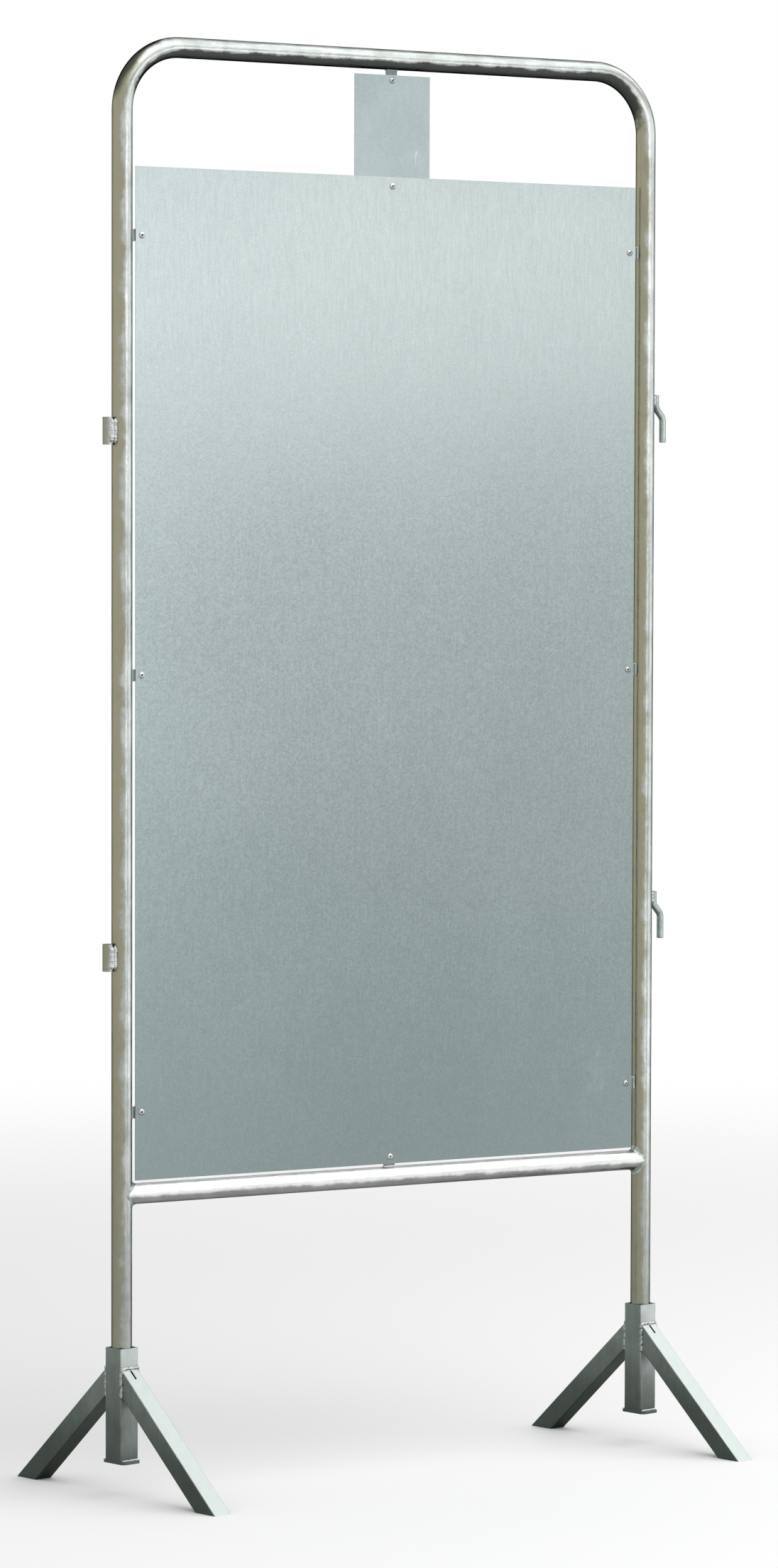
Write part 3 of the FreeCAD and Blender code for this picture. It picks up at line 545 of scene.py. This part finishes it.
def make_weld_tree():
    """A weld bead along a path: soft uneven lumps, with shallow ripples that wander across it."""
    tree, given, outlet = geometry_tree(
        "weld_bead",
        (("Bead Radius", "NodeSocketFloat"), ("Ripple Pitch", "NodeSocketFloat"),
         ("Ripple Depth", "NodeSocketFloat"), ("Lump Depth", "NodeSocketFloat"),
         ("End Share", "NodeSocketFloat"), ("Sides", "NodeSocketInt"), ("Seed", "NodeSocketFloat"),
         ("Material", "NodeSocketMaterial")),
    )
    path = put(tree, "GeometryNodeMeshToCurve", {"Mesh": given["Geometry"]})
    step = maths(tree, "DIVIDE", given["Ripple Pitch"], STEPS_PER_RIPPLE)
    dense = put(
        tree, "GeometryNodeResampleCurve", {"Curve": path.outputs[0], "Length": step}, mode="LENGTH",
    )
    length = tree.nodes.new("GeometryNodeSplineParameter").outputs["Length"]
    along = put(
        tree, "GeometryNodeStoreNamedAttribute",
        {"Geometry": dense.outputs[0], "Name": "along", "Value": length},
    )
    whole = tree.nodes.new("GeometryNodeSplineLength").outputs["Length"]
    to_end = maths(tree, "MINIMUM", length, maths(tree, "SUBTRACT", whole, length))
    taper = ramp(tree, to_end, 0.0, given["Bead Radius"], given["End Share"], 1.0)
    ring = put(
        tree, "GeometryNodeCurvePrimitiveCircle",
        {"Resolution": given["Sides"], "Radius": given["Bead Radius"]},
    )
    bead = put(
        tree, "GeometryNodeCurveToMesh",
        {"Curve": along.outputs[0], "Profile Curve": ring.outputs[0], "Scale": taper, "Fill Caps": True},
    )
    spot = tree.nodes.new("GeometryNodeInputPosition").outputs[0]
    sway, lump = (
        put(
            tree, "ShaderNodeTexNoise", {"Vector": spot, "W": given["Seed"], "Scale": scale, "Detail": 1.0},
            noise_dimensions="4D",
        ).outputs[0]
        for scale in (SWAY_SCALE, LUMP_SCALE)
    )
    run = put(tree, "GeometryNodeInputNamedAttribute", {"Name": "along"}, data_type="FLOAT")
    turns = maths(tree, "DIVIDE", run.outputs[0], given["Ripple Pitch"])
    turns = maths(tree, "MULTIPLY_ADD", sway, RIPPLE_SWAY, turns)
    ripple = maths(tree, "SINE", maths(tree, "MULTIPLY", turns, 2 * math.pi))
    rise = maths(tree, "MULTIPLY", maths(tree, "SUBTRACT", lump, NOISE_MIDDLE), given["Lump Depth"])
    rise = maths(tree, "MULTIPLY_ADD", ripple, given["Ripple Depth"], rise)
    rise = maths(tree, "MULTIPLY", rise, given["Bead Radius"])
    outward = tree.nodes.new("GeometryNodeInputNormal").outputs[0]
    push = put(tree, "ShaderNodeVectorMath", {0: outward, "Scale": rise}, operation="SCALE")
    lumpy = put(tree, "GeometryNodeSetPosition", {"Geometry": bead.outputs[0], "Offset": push.outputs[0]})
    close_tree(tree, lumpy.outputs[0], given["Material"], outlet)
    return tree


def make_rivet_tree():
    """One turned piece set at each point, heads to the front and each turned its own way."""
    tree, given, outlet = geometry_tree(
        "set_rivets",
        (("Piece", "NodeSocketObject"), ("Seed", "NodeSocketInt"), ("Material", "NodeSocketMaterial")),
    )
    piece = put(tree, "GeometryNodeObjectInfo", {"Object": given["Piece"]})
    turn = put(
        tree, "FunctionNodeRandomValue", {2: 0.0, 3: 2 * math.pi, "Seed": given["Seed"]}, data_type="FLOAT",
    )
    spin = put(tree, "ShaderNodeCombineXYZ", {1: turn.outputs[1]})
    rotation = put(tree, "FunctionNodeEulerToRotation", {0: spin.outputs[0]})
    placed = put(
        tree, "GeometryNodeInstanceOnPoints",
        {"Points": given["Geometry"], "Instance": piece.outputs["Geometry"], "Rotation": rotation.outputs[0]},
    )
    close_tree(tree, placed.outputs[0], given["Material"], outlet)
    return tree


BENT_TUBE = make_bent_tube_tree()
WELD_BEAD = make_weld_tree()
SET_RIVETS = make_rivet_tree()


# Ways to make a piece
def add_object(name, data):
    piece = bpy.data.objects.new(name, data)
    bpy.context.collection.objects.link(piece)
    return piece


def discard(piece):
    mesh = piece.data
    bpy.data.objects.remove(piece)
    bpy.data.meshes.remove(mesh)


def line_object(name, paths):
    """A mesh of open or closed runs of edges, or of loose points."""
    mesh = bpy.data.meshes.new(name)
    points = []
    edges = []
    for path, closed in paths:
        first = len(points)
        points += [tuple(point) for point in path]
        edges += [(first + i, first + i + 1) for i in range(len(path) - 1)]
        if closed:
            edges.append((len(points) - 1, first))
    mesh.from_pydata(points, edges, [])
    return add_object(name, mesh)


def grow(piece, tree, sizes, add_modifiers=None):
    """Runs a node tree on a piece, then makes the result the piece's plain mesh."""
    modifier = piece.modifiers.new("grow", "NODES")
    modifier.node_group = tree
    for socket in tree.interface.items_tree:
        if socket.in_out == "INPUT" and socket.name in sizes:
            modifier[socket.identifier] = sizes[socket.name]
    if add_modifiers:
        add_modifiers(piece)
    depsgraph = bpy.context.evaluated_depsgraph_get()
    mesh = bpy.data.meshes.new_from_object(piece.evaluated_get(depsgraph), depsgraph=depsgraph)
    mesh.set_sharp_from_angle(angle=SHARP_ANGLE)
    old = piece.data
    piece.modifiers.clear()
    piece.data = mesh
    bpy.data.meshes.remove(old)
    return piece


def built_mesh(name, build):
    """A mesh that a function builds, with its doubles merged and its faces outwards."""
    mesh = bpy.data.meshes.new(name)
    work = bmesh.new()
    build(work)
    bmesh.ops.remove_doubles(work, verts=work.verts, dist=MERGE_DISTANCE)
    bmesh.ops.recalc_face_normals(work, faces=work.faces)
    work.to_mesh(mesh)
    work.free()
    return mesh


def mesh_object(name, build, material):
    """A piece that a function builds, with one material and smooth sides up to a sharp angle."""
    mesh = built_mesh(name, build)
    mesh.materials.append(material)
    mesh.shade_smooth()
    mesh.set_sharp_from_angle(angle=SHARP_ANGLE)
    return add_object(name, mesh)


def join_rings(work, rings):
    """Faces between closed rings of points, and from the last ring back to the first."""
    count = len(rings[0])
    for ring, after in zip(rings, rings[1:] + rings[:1]):
        for j in range(count):
            k = (j + 1) % count
            work.faces.new((ring[j], ring[k], after[k], after[j]))


def keep(piece, body, slot, *stands_for):
    """Puts a piece on its body, in place of the solids that it stands for. The slot is not used."""
    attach(piece, body)
    if stands_for:
        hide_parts(*stands_for)


# Frame tube and lower rail
def tube_wall(piece):
    wall = piece.modifiers.new("wall", "SOLIDIFY")
    wall.thickness = TUBE_WALL
    wall.offset = -1.0


def make_tube(name, path, material, add_modifiers=tube_wall):
    sizes = {
        "Radius": TUBE_RADIUS, "Bend Radius": BEND_RADIUS, "Bend Steps": BEND_STEPS, "Sides": TUBE_SIDES,
        "Material": material,
    }
    return grow(line_object(name, [(path, False)]), BENT_TUBE, sizes, add_modifiers)


def vent_drill(x, way):
    """A short bar that cuts a vent hole through one side of the rail's wall. It is turned by half a side,
    so that none of its corners falls on the rail's own edges."""
    place = Matrix.Translation((x, 0, RAIL_Z + way * TUBE_RADIUS))
    half_side = Matrix.Rotation(math.pi / VENT_SIDES, 4, "Z")

    def build(work):
        bmesh.ops.create_cone(
            work, cap_ends=True, segments=VENT_SIDES, radius1=VENT_RADIUS, radius2=VENT_RADIUS,
            depth=TUBE_RADIUS, matrix=place @ half_side,
        )

    return add_object("vent_drill", built_mesh("vent_drill", build))


def cope_ends(mesh):
    """Draws the rail's flat ends out until they fit round the posts."""
    for vertex in mesh.vertices:
        if abs(vertex.co.x) > RAIL_END_X - VENT_RADIUS:
            reach = POST_X - math.sqrt(COPE_RADIUS ** 2 - vertex.co.y ** 2)
            vertex.co.x = math.copysign(reach, vertex.co.x)


def make_lower_rail():
    """A straight tube with a vent above at its left end and one below at its right end."""
    drills = [vent_drill(-VENT_X, 1), vent_drill(VENT_X, -1)]

    def drilled_wall(piece):
        tube_wall(piece)
        for drill in drills:
            hole = piece.modifiers.new("vent", "BOOLEAN")
            hole.object = drill
            hole.solver = "EXACT"

    path = [(-RAIL_END_X, 0, RAIL_Z), (RAIL_END_X, 0, RAIL_Z)]
    rail = make_tube("lower_rail_tube", path, RAIL_FINISH, drilled_wall)
    cope_ends(rail.data)
    for drill in drills:
        discard(drill)
    return rail


corners = [(-POST_X, 0, POST_FOOT_Z), (-POST_X, 0, CROWN_Z), (POST_X, 0, CROWN_Z), (POST_X, 0, POST_FOOT_Z)]
keep(make_tube("bent_frame_tube", corners, TUBE_FINISH), "frame", "galvanised_tube", "frame_tube")
keep(make_lower_rail(), "frame", "galvanised_tube", "lower_rail")

# Rivets, with the bulge as shares of its radius and length
RIVET_INSET = 0.012
LAP_GRIP = 2 * PLATE_THICKNESS
TAB_GRIP = PLATE_THICKNESS + 2 * TAB_HALF_THICK
HEAD_RADIUS = 0.0055
HEAD_HEIGHT = 0.0026
HEAD_RIM = 0.0007
HEAD_FOOT_SHARE = 0.985
RIM_FOOT_SHARE = 0.3
DOME_STEPS = 8
SHANK_RADIUS = 0.0024
BORE_RADIUS = 0.00145
DIMPLE_RADIUS = 0.0022
DIMPLE_DEPTH = 0.0009
BULGE_RADIUS = 0.0037
BULGE_LENGTH = 0.0045
BULGE_SHAPE = ((0.93, 0.45), (1.0, 0.18), (0.96, 0.0))
STEM_RADIUS = 0.0014
STEM_AXIS = 1e-5
STEM_RECESS = 0.0014
STEM_TIP_SHARE = 0.7
STEM_TIP_HEIGHT = 0.0002
STEM_TIP_DEPTH = 0.0003
STEM_HEAD_RADIUS = 0.0021
STEM_HEAD_LENGTH = 0.002
STEM_HEAD_SHARE = 0.6
TURN_STEPS = 40


def turned(name, outline, material):
    """A closed outline of radius and depth turned about the Y axis, the head side towards -Y."""
    def build(work):
        rings = []
        for i in range(TURN_STEPS):
            angle = 2 * math.pi * i / TURN_STEPS
            rings.append([
                work.verts.new((radius * math.cos(angle), depth, radius * math.sin(angle)))
                for radius, depth in outline
            ])
        join_rings(work, rings)

    return mesh_object(name, build, material)


def dome_outline():
    """The head's dome, from its rim in to the edge of the dimple."""
    rise = HEAD_HEIGHT - HEAD_RIM
    radius = (HEAD_RADIUS ** 2 + rise ** 2) / (2 * rise)
    outline = []
    for i in range(DOME_STEPS + 1):
        reach = HEAD_RADIUS - (HEAD_RADIUS - DIMPLE_RADIUS) * i / DOME_STEPS
        outline.append((reach, -(HEAD_HEIGHT - radius + math.sqrt(radius ** 2 - reach ** 2))))
    return outline


def rivet_outline(grip):
    """Over the head, through the bore, and back along the tail that bulges behind the grip."""
    tail = grip + BULGE_LENGTH
    bulge = [(BULGE_RADIUS * wide, grip + BULGE_LENGTH * deep) for wide, deep in BULGE_SHAPE]
    return [
        (HEAD_RADIUS * HEAD_FOOT_SHARE, 0.0), (HEAD_RADIUS, -HEAD_RIM * RIM_FOOT_SHARE), *dome_outline(),
        (BORE_RADIUS, -HEAD_HEIGHT + DIMPLE_DEPTH), (BORE_RADIUS, tail), (SHANK_RADIUS, tail), *bulge,
        (SHANK_RADIUS, grip), (SHANK_RADIUS, 0.0),
    ]


def stem_outline(grip):
    """From the broken tip down in the bore to the stem's own head behind the bulge."""
    top = -HEAD_HEIGHT + STEM_RECESS
    tail = grip + BULGE_LENGTH
    end = tail + STEM_HEAD_LENGTH
    return [
        (STEM_AXIS, top - STEM_TIP_HEIGHT), (STEM_RADIUS * STEM_TIP_SHARE, top),
        (STEM_RADIUS, top + STEM_TIP_DEPTH), (STEM_RADIUS, tail), (STEM_HEAD_RADIUS, tail),
        (STEM_HEAD_RADIUS, tail + STEM_HEAD_LENGTH * STEM_HEAD_SHARE),
        (STEM_HEAD_RADIUS * STEM_HEAD_SHARE, end), (STEM_AXIS, end),
    ]


def set_rivets(name, outline, spots, material, seed):
    pattern = turned(name + "_pattern", outline, material)
    piece = line_object(name, [([spot], False) for spot in spots])
    grow(piece, SET_RIVETS, {"Piece": pattern, "Seed": seed, "Material": material})
    discard(pattern)
    return piece


side_rivet_x = sheet_high.x - RIVET_INSET
tab_spots = [(x, sheet_low.y, z) for x in (-side_rivet_x, side_rivet_x) for z in TAB_HEIGHTS]
tab_spots.append((0.0, sheet_low.y, sheet_low.z + RIVET_INSET))
tab_spots.append((0.0, plate_low.y, middle("plate_rivet_upper").z))
lap_spots = [(0.0, sheet_low.y, middle("plate_rivet_lower").z)]
keep(
    set_rivets("tab_rivets", rivet_outline(TAB_GRIP), tab_spots, RIVET_FINISH, seed=3),
    "frame", "rivet", "panel_rivets", "plate_rivet_upper",
)
keep(
    set_rivets("lap_rivet", rivet_outline(LAP_GRIP), lap_spots, RIVET_FINISH, seed=4),
    "frame", "rivet", "plate_rivet_lower",
)
keep(
    set_rivets("tab_rivet_stems", stem_outline(TAB_GRIP), tab_spots, STEM_FINISH, seed=5),
    "frame", "mandrel", "panel_mandrels", "plate_mandrel_upper",
)
keep(
    set_rivets("lap_rivet_stem", stem_outline(LAP_GRIP), lap_spots, STEM_FINISH, seed=6),
    "frame", "mandrel", "plate_mandrel_lower",
)

# Weld beads, with each seam in a crevice as its reach out from the post's side and its offset from the middle
RIPPLE_PITCH = 0.0032
RIPPLE_DEPTH = 0.035
BEAD_SIDES = 20
TAB_BEAD = 0.0017
BUSH_BEAD = 0.0044
BUSH_SEAMS = ((0.0, 0.0078), (0.0066, 0.0086))
BUSH_TRIM = 0.003
HOOK_BEAD = 0.0032
HOOK_SEAMS = ((0.0, 0.0052),)
HOOK_ROOT_LENGTH = 0.018
HOOK_OVERRUN = 0.002
HOOK_TRIM = 0.001
CREVICE_END = 0.5
LEG_BEAD = 0.0031
LEG_LUMP = 1.6
BASE_BEAD = 0.0024
BASE_TRIM = 0.003
SADDLE_STEPS = 72
FILLET_RUN = 0.0085
FILLET_SIDE_SHARE = 0.3
FILLET_SWAY = 0.12
FILLET_SWAYS = 3
FILLET_RIPPLE = 0.08
FILLET_RIPPLES = 8
FILLET_STEPS = 6
FILLET_EDGE = 0.0002
FILLET_CROWN = 0.0008
FILLET_ROOT = 0.0005


def weld(name, paths, radius, body, slot, seed, end=1.0, lump=0.8, material=WELD_FINISH):
    """A bead along each path. End is the share of its radius at the two ends of an open path, and lump is
    how far it swells and thins."""
    sizes = {
        "Bead Radius": radius, "Ripple Pitch": RIPPLE_PITCH, "Ripple Depth": RIPPLE_DEPTH,
        "Lump Depth": lump, "End Share": end, "Sides": BEAD_SIDES, "Seed": seed, "Material": material,
    }
    keep(grow(line_object(name, paths), WELD_BEAD, sizes), body, slot)


def fillet_section(way, angle, run):
    """The weld between the lower rail and a post, cut at one angle round the rail: a hollow curve that
    runs out on to both tubes, closed under their skins."""
    across = math.cos(angle)
    rise = math.sin(angle)
    bearing = math.asin(TUBE_RADIUS * across / COPE_RADIUS)

    def on_rail(out, height):
        radius = TUBE_RADIUS + height
        reach = POST_X - COPE_RADIUS * math.cos(bearing) - out
        return Vector((way * reach, radius * across, RAIL_Z + radius * rise))

    def on_post(out, height):
        radius = TUBE_RADIUS + height
        turn = bearing + out * across / TUBE_RADIUS
        reach = POST_X - radius * math.cos(turn)
        return Vector((way * reach, radius * math.sin(turn), RAIL_Z + (TUBE_RADIUS + out) * rise))

    corner = on_rail(0, 0)
    outward = Vector((-way * math.cos(bearing), across + math.sin(bearing), rise)).normalized()
    start = on_rail(run, FILLET_EDGE)
    end = on_post(run, FILLET_EDGE)
    control = corner + outward * FILLET_CROWN
    curve = []
    for i in range(FILLET_STEPS + 1):
        t = i / FILLET_STEPS
        curve.append(start * (1 - t) ** 2 + control * 2 * t * (1 - t) + end * t ** 2)
    root = corner - outward * 2 * FILLET_ROOT
    return curve + [on_post(run, -FILLET_ROOT), root, on_rail(run, -FILLET_ROOT)]


def rail_fillets(work):
    """The welds round both ends of the lower rail: widest above and below, and a little uneven."""
    for way in SIDES.values():
        rings = []
        for i in range(SADDLE_STEPS):
            angle = 2 * math.pi * i / SADDLE_STEPS
            sway = FILLET_SWAY * math.sin(FILLET_SWAYS * angle + way)
            uneven = 1 + sway + FILLET_RIPPLE * math.sin(FILLET_RIPPLES * angle)
            share = FILLET_SIDE_SHARE + (1 - FILLET_SIDE_SHARE) * math.sin(angle) ** 2
            section = fillet_section(way, angle, FILLET_RUN * uneven * share)
            rings.append([work.verts.new(point) for point in section])
        join_rings(work, rings)


def tab_path(out, wide, origin):
    """Round the end of a flat tab where it meets its tube."""
    return [
        origin + out * TUBE_RADIUS + wide * (TAB_HALF_WIDTH * a) + BACK * (TAB_HALF_THICK * b)
        for a, b in SQUARE
    ]


def crevice_paths(way, seams, low, high):
    """Upright seams in the crevice between a post and a round bar beside it, front and back."""
    paths = []
    for out, offset in seams:
        x = way * (POST_X + TUBE_RADIUS + out)
        for face in (-1, 1):
            paths.append(([Vector((x, face * offset, low)), Vector((x, face * offset, high))], False))
    return paths


def foot_paths(way):
    """The seams of a foot: each leg's end on the socket, and the socket on its base plate."""
    place = Matrix.Translation((way * POST_X, 0, 0)) @ Matrix.Rotation(FOOT_TURN, 4, "Z")
    half = LEG_SIDE / 2
    low = LEG_TOP_Z - LEG_SIDE / math.cos(LEG_SLOPE)
    leg_end = ((-half, LEG_TOP_Z), (half, LEG_TOP_Z), (half, low), (-half, low))
    seam = SOCKET_HALF - BASE_TRIM
    base_end = ((-seam, SOCKET_FOOT_Z), (seam, SOCKET_FOOT_Z))

    def on_face(face, outline):
        return [place @ Vector((x, face * SOCKET_HALF, z)) for x, z in outline]

    legs = [(on_face(face, leg_end), True) for face in (-1, 1)]
    ends = [(on_face(face, base_end), False) for face in (-1, 1)]
    return legs, ends


keep(mesh_object("rail_welds", rail_fillets, BAR_FINISH), "frame", "galvanised_tube")

tab_ends = [
    (-way * RIGHT, UP, Vector((way * POST_X, 0, height))) for height in TAB_HEIGHTS for way in SIDES.values()
]
tab_ends.append((UP, RIGHT, Vector((0, 0, RAIL_Z))))
tab_ends.append((-UP, RIGHT, Vector((0, PLATE_THICKNESS, CROWN_Z))))
tab_paths = [(tab_path(*end), True) for end in tab_ends]
weld("tab_welds", tab_paths, TAB_BEAD, "frame", "galvanised_tube", seed=2.0)

bush_paths = []
hook_paths = []
for level in LINK_LEVELS:
    foot, head = (corner.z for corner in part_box(level + "_bush"))
    bush_paths += crevice_paths(-1, BUSH_SEAMS, foot + BUSH_TRIM, head - BUSH_TRIM)
    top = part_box(level + "_hook")[1].z
    hook_paths += crevice_paths(1, HOOK_SEAMS, top - HOOK_ROOT_LENGTH - HOOK_OVERRUN, top - HOOK_TRIM)
weld("bush_welds", bush_paths, BUSH_BEAD, "frame", "galvanised_tube", seed=3.0, end=CREVICE_END)
weld("hook_welds", hook_paths, HOOK_BEAD, "frame", "galvanised_tube", seed=4.0, end=CREVICE_END)

for side, way in SIDES.items():
    legs, ends = foot_paths(way)
    body = side + "_foot"
    weld(
        side + "_leg_welds", legs, LEG_BEAD, body, "galvanised_foot", seed=5.0 + way, lump=LEG_LUMP,
        material=FOOT_WELD_FINISH,
    )
    weld(
        side + "_base_welds", ends, BASE_BEAD, body, "galvanised_foot", seed=8.0 + way,
        material=FOOT_WELD_FINISH,
    )


# Finishes of the solids that show as they are
def dress(names, material):
    for name in names:
        for slot in nodes[name].material_slots:
            slot.material = material


side_tabs = [f"{side}_tab_{level}" for side in SIDES for level in TAB_LEVELS]
foot_pieces = ("socket", "base_plate", "front_leg", "rear_leg")
dress(side_tabs + ["top_tab", "bottom_tab"], TAB_FINISH)
dress([level + "_bush" for level in LINK_LEVELS], BUSH_FINISH)
dress([level + "_hook" for level in LINK_LEVELS], BAR_FINISH)
dress(["panel_sheet"], SHEET_FINISH)
dress(["number_plate"], PLATE_FINISH)
dress([f"{side}_{piece}" for side in SIDES for piece in foot_pieces], FOOT_FINISH)

# Floor, light and camera
WHITE = (1.0, 1.0, 1.0)
FLOOR_REACH = 60.0
FLOOR_TONE = (0.88, 0.88, 0.88)
WHITE_START = 2.0
WHITE_FULL = 7.0
MIRROR_SHRINK = -0.6
WORLD_LIGHT = 0.75


def plainly_seen(tree, rays):
    """1 for rays from the camera, off a glossy face or through glass, and 0 for those that carry light."""
    seen = maths(tree, "ADD", rays["Is Camera Ray"], rays["Is Glossy Ray"])
    return maths(tree, "ADD", seen, rays["Is Transmission Ray"], clamp=True)


def make_floor():
    """A pale floor that keeps the shadows near the board and fades to white further out."""
    mesh = bpy.data.meshes.new("floor")
    mesh.from_pydata([(FLOOR_REACH * a, FLOOR_REACH * b, 0) for a, b in SQUARE], [], [(0, 1, 2, 3)])
    floor = add_object("floor", mesh)
    material = bpy.data.materials.new("pale_floor")
    material.use_nodes = True
    tree = material.node_tree
    tree.nodes.remove(tree.nodes["Principled BSDF"])
    matt = put(tree, "ShaderNodeBsdfDiffuse", {"Color": opaque(FLOOR_TONE)})
    white = put(tree, "ShaderNodeEmission", {"Color": opaque(WHITE), "Strength": 1.0})
    place = tree.nodes.new("ShaderNodeTexCoord").outputs["Object"]
    far = put(tree, "ShaderNodeVectorMath", {0: place}, operation="LENGTH")
    rays = tree.nodes.new("ShaderNodeLightPath").outputs
    shrunk = maths(tree, "MULTIPLY_ADD", rays["Is Glossy Ray"], MIRROR_SHRINK, 1.0)
    fade = ramp(tree, maths(tree, "MULTIPLY", far.outputs["Value"], shrunk), WHITE_START, WHITE_FULL)
    share = maths(tree, "MULTIPLY", fade, plainly_seen(tree, rays))
    both = put(tree, "ShaderNodeMixShader", {0: share, 1: matt.outputs[0], 2: white.outputs[0]})
    tree.links.new(both.outputs[0], tree.nodes["Material Output"].inputs["Surface"])
    mesh.materials.append(material)


def make_world():
    world = bpy.data.worlds.new("studio")
    bpy.context.scene.world = world
    world.use_nodes = True
    tree = world.node_tree
    rays = tree.nodes.new("ShaderNodeLightPath").outputs
    light = tree.nodes["Background"]
    light.inputs["Color"].default_value = opaque(WHITE)
    strength = ramp(tree, plainly_seen(tree, rays), 0.0, 1.0, WORLD_LIGHT, 1.0)
    tree.links.new(strength, light.inputs["Strength"])


def soft_box(name, place, aim, size, radiance, colour=WHITE):
    """A rectangular lamp that looks equally bright from every side in front of it."""
    lamp = bpy.data.lights.new(name, "AREA")
    lamp.shape = "RECTANGLE"
    lamp.size, lamp.size_y = size
    lamp.energy = radiance * math.pi * size[0] * size[1]
    lamp.color = colour
    box = add_object(name, lamp)
    box.location = place
    box.rotation_euler = (Vector(aim) - Vector(place)).to_track_quat("-Z", "Y").to_euler()
    box.visible_camera = False


def make_camera():
    """Where the photographer stood: eye height, well to the left of the sheet's front."""
    azimuth = math.radians(-30.93)
    distance = 9.167
    height = 1.601
    yaw = math.radians(30.92)
    pitch = math.radians(-2.581)
    roll = math.radians(0.149)
    lens = bpy.data.cameras.new("camera")
    lens.sensor_width = 36.0
    lens.lens = 122.1
    camera = add_object("camera", lens)
    camera.location = (distance * math.sin(azimuth), -distance * math.cos(azimuth), height)
    level = Matrix.Rotation(-yaw, 3, "Z") @ Matrix.Rotation(math.pi / 2 + pitch, 3, "X")
    camera.rotation_euler = (level @ Matrix.Rotation(roll, 3, "Z")).to_euler()
    bpy.context.scene.camera = camera


make_floor()
make_world()
soft_box("ceiling_box", (2.0, -3.3, 5.4), (2.0, -3.3, 0.0), (7.0, 7.0), 1.2)
soft_box("leg_box", (5.0, 0.4, 5.2), (0.0, 0.0, 0.1), (3.0, 2.6), 1.2)
soft_box("low_box", (3.0, -2.1, 0.25), (0.0, 0.0, 0.1), (1.6, 0.4), 1.0)
soft_box("panel_box", (2.55, -4.5, 2.41), (0.0, 0.0, 1.01), (2.2, 0.95), 1.7, (1.0, 0.9, 0.88))
soft_box("side_box", (4.6, -2.2, 1.6), (0.0, 0.0, 1.0), (3.0, 3.2), 0.8)
soft_box("front_strip", (1.35, -4.8, 1.6), (0.0, 0.0, 1.4), (0.5, 3.2), 2.2)
make_camera()
bpy.context.scene.view_settings.view_transform = "Standard"
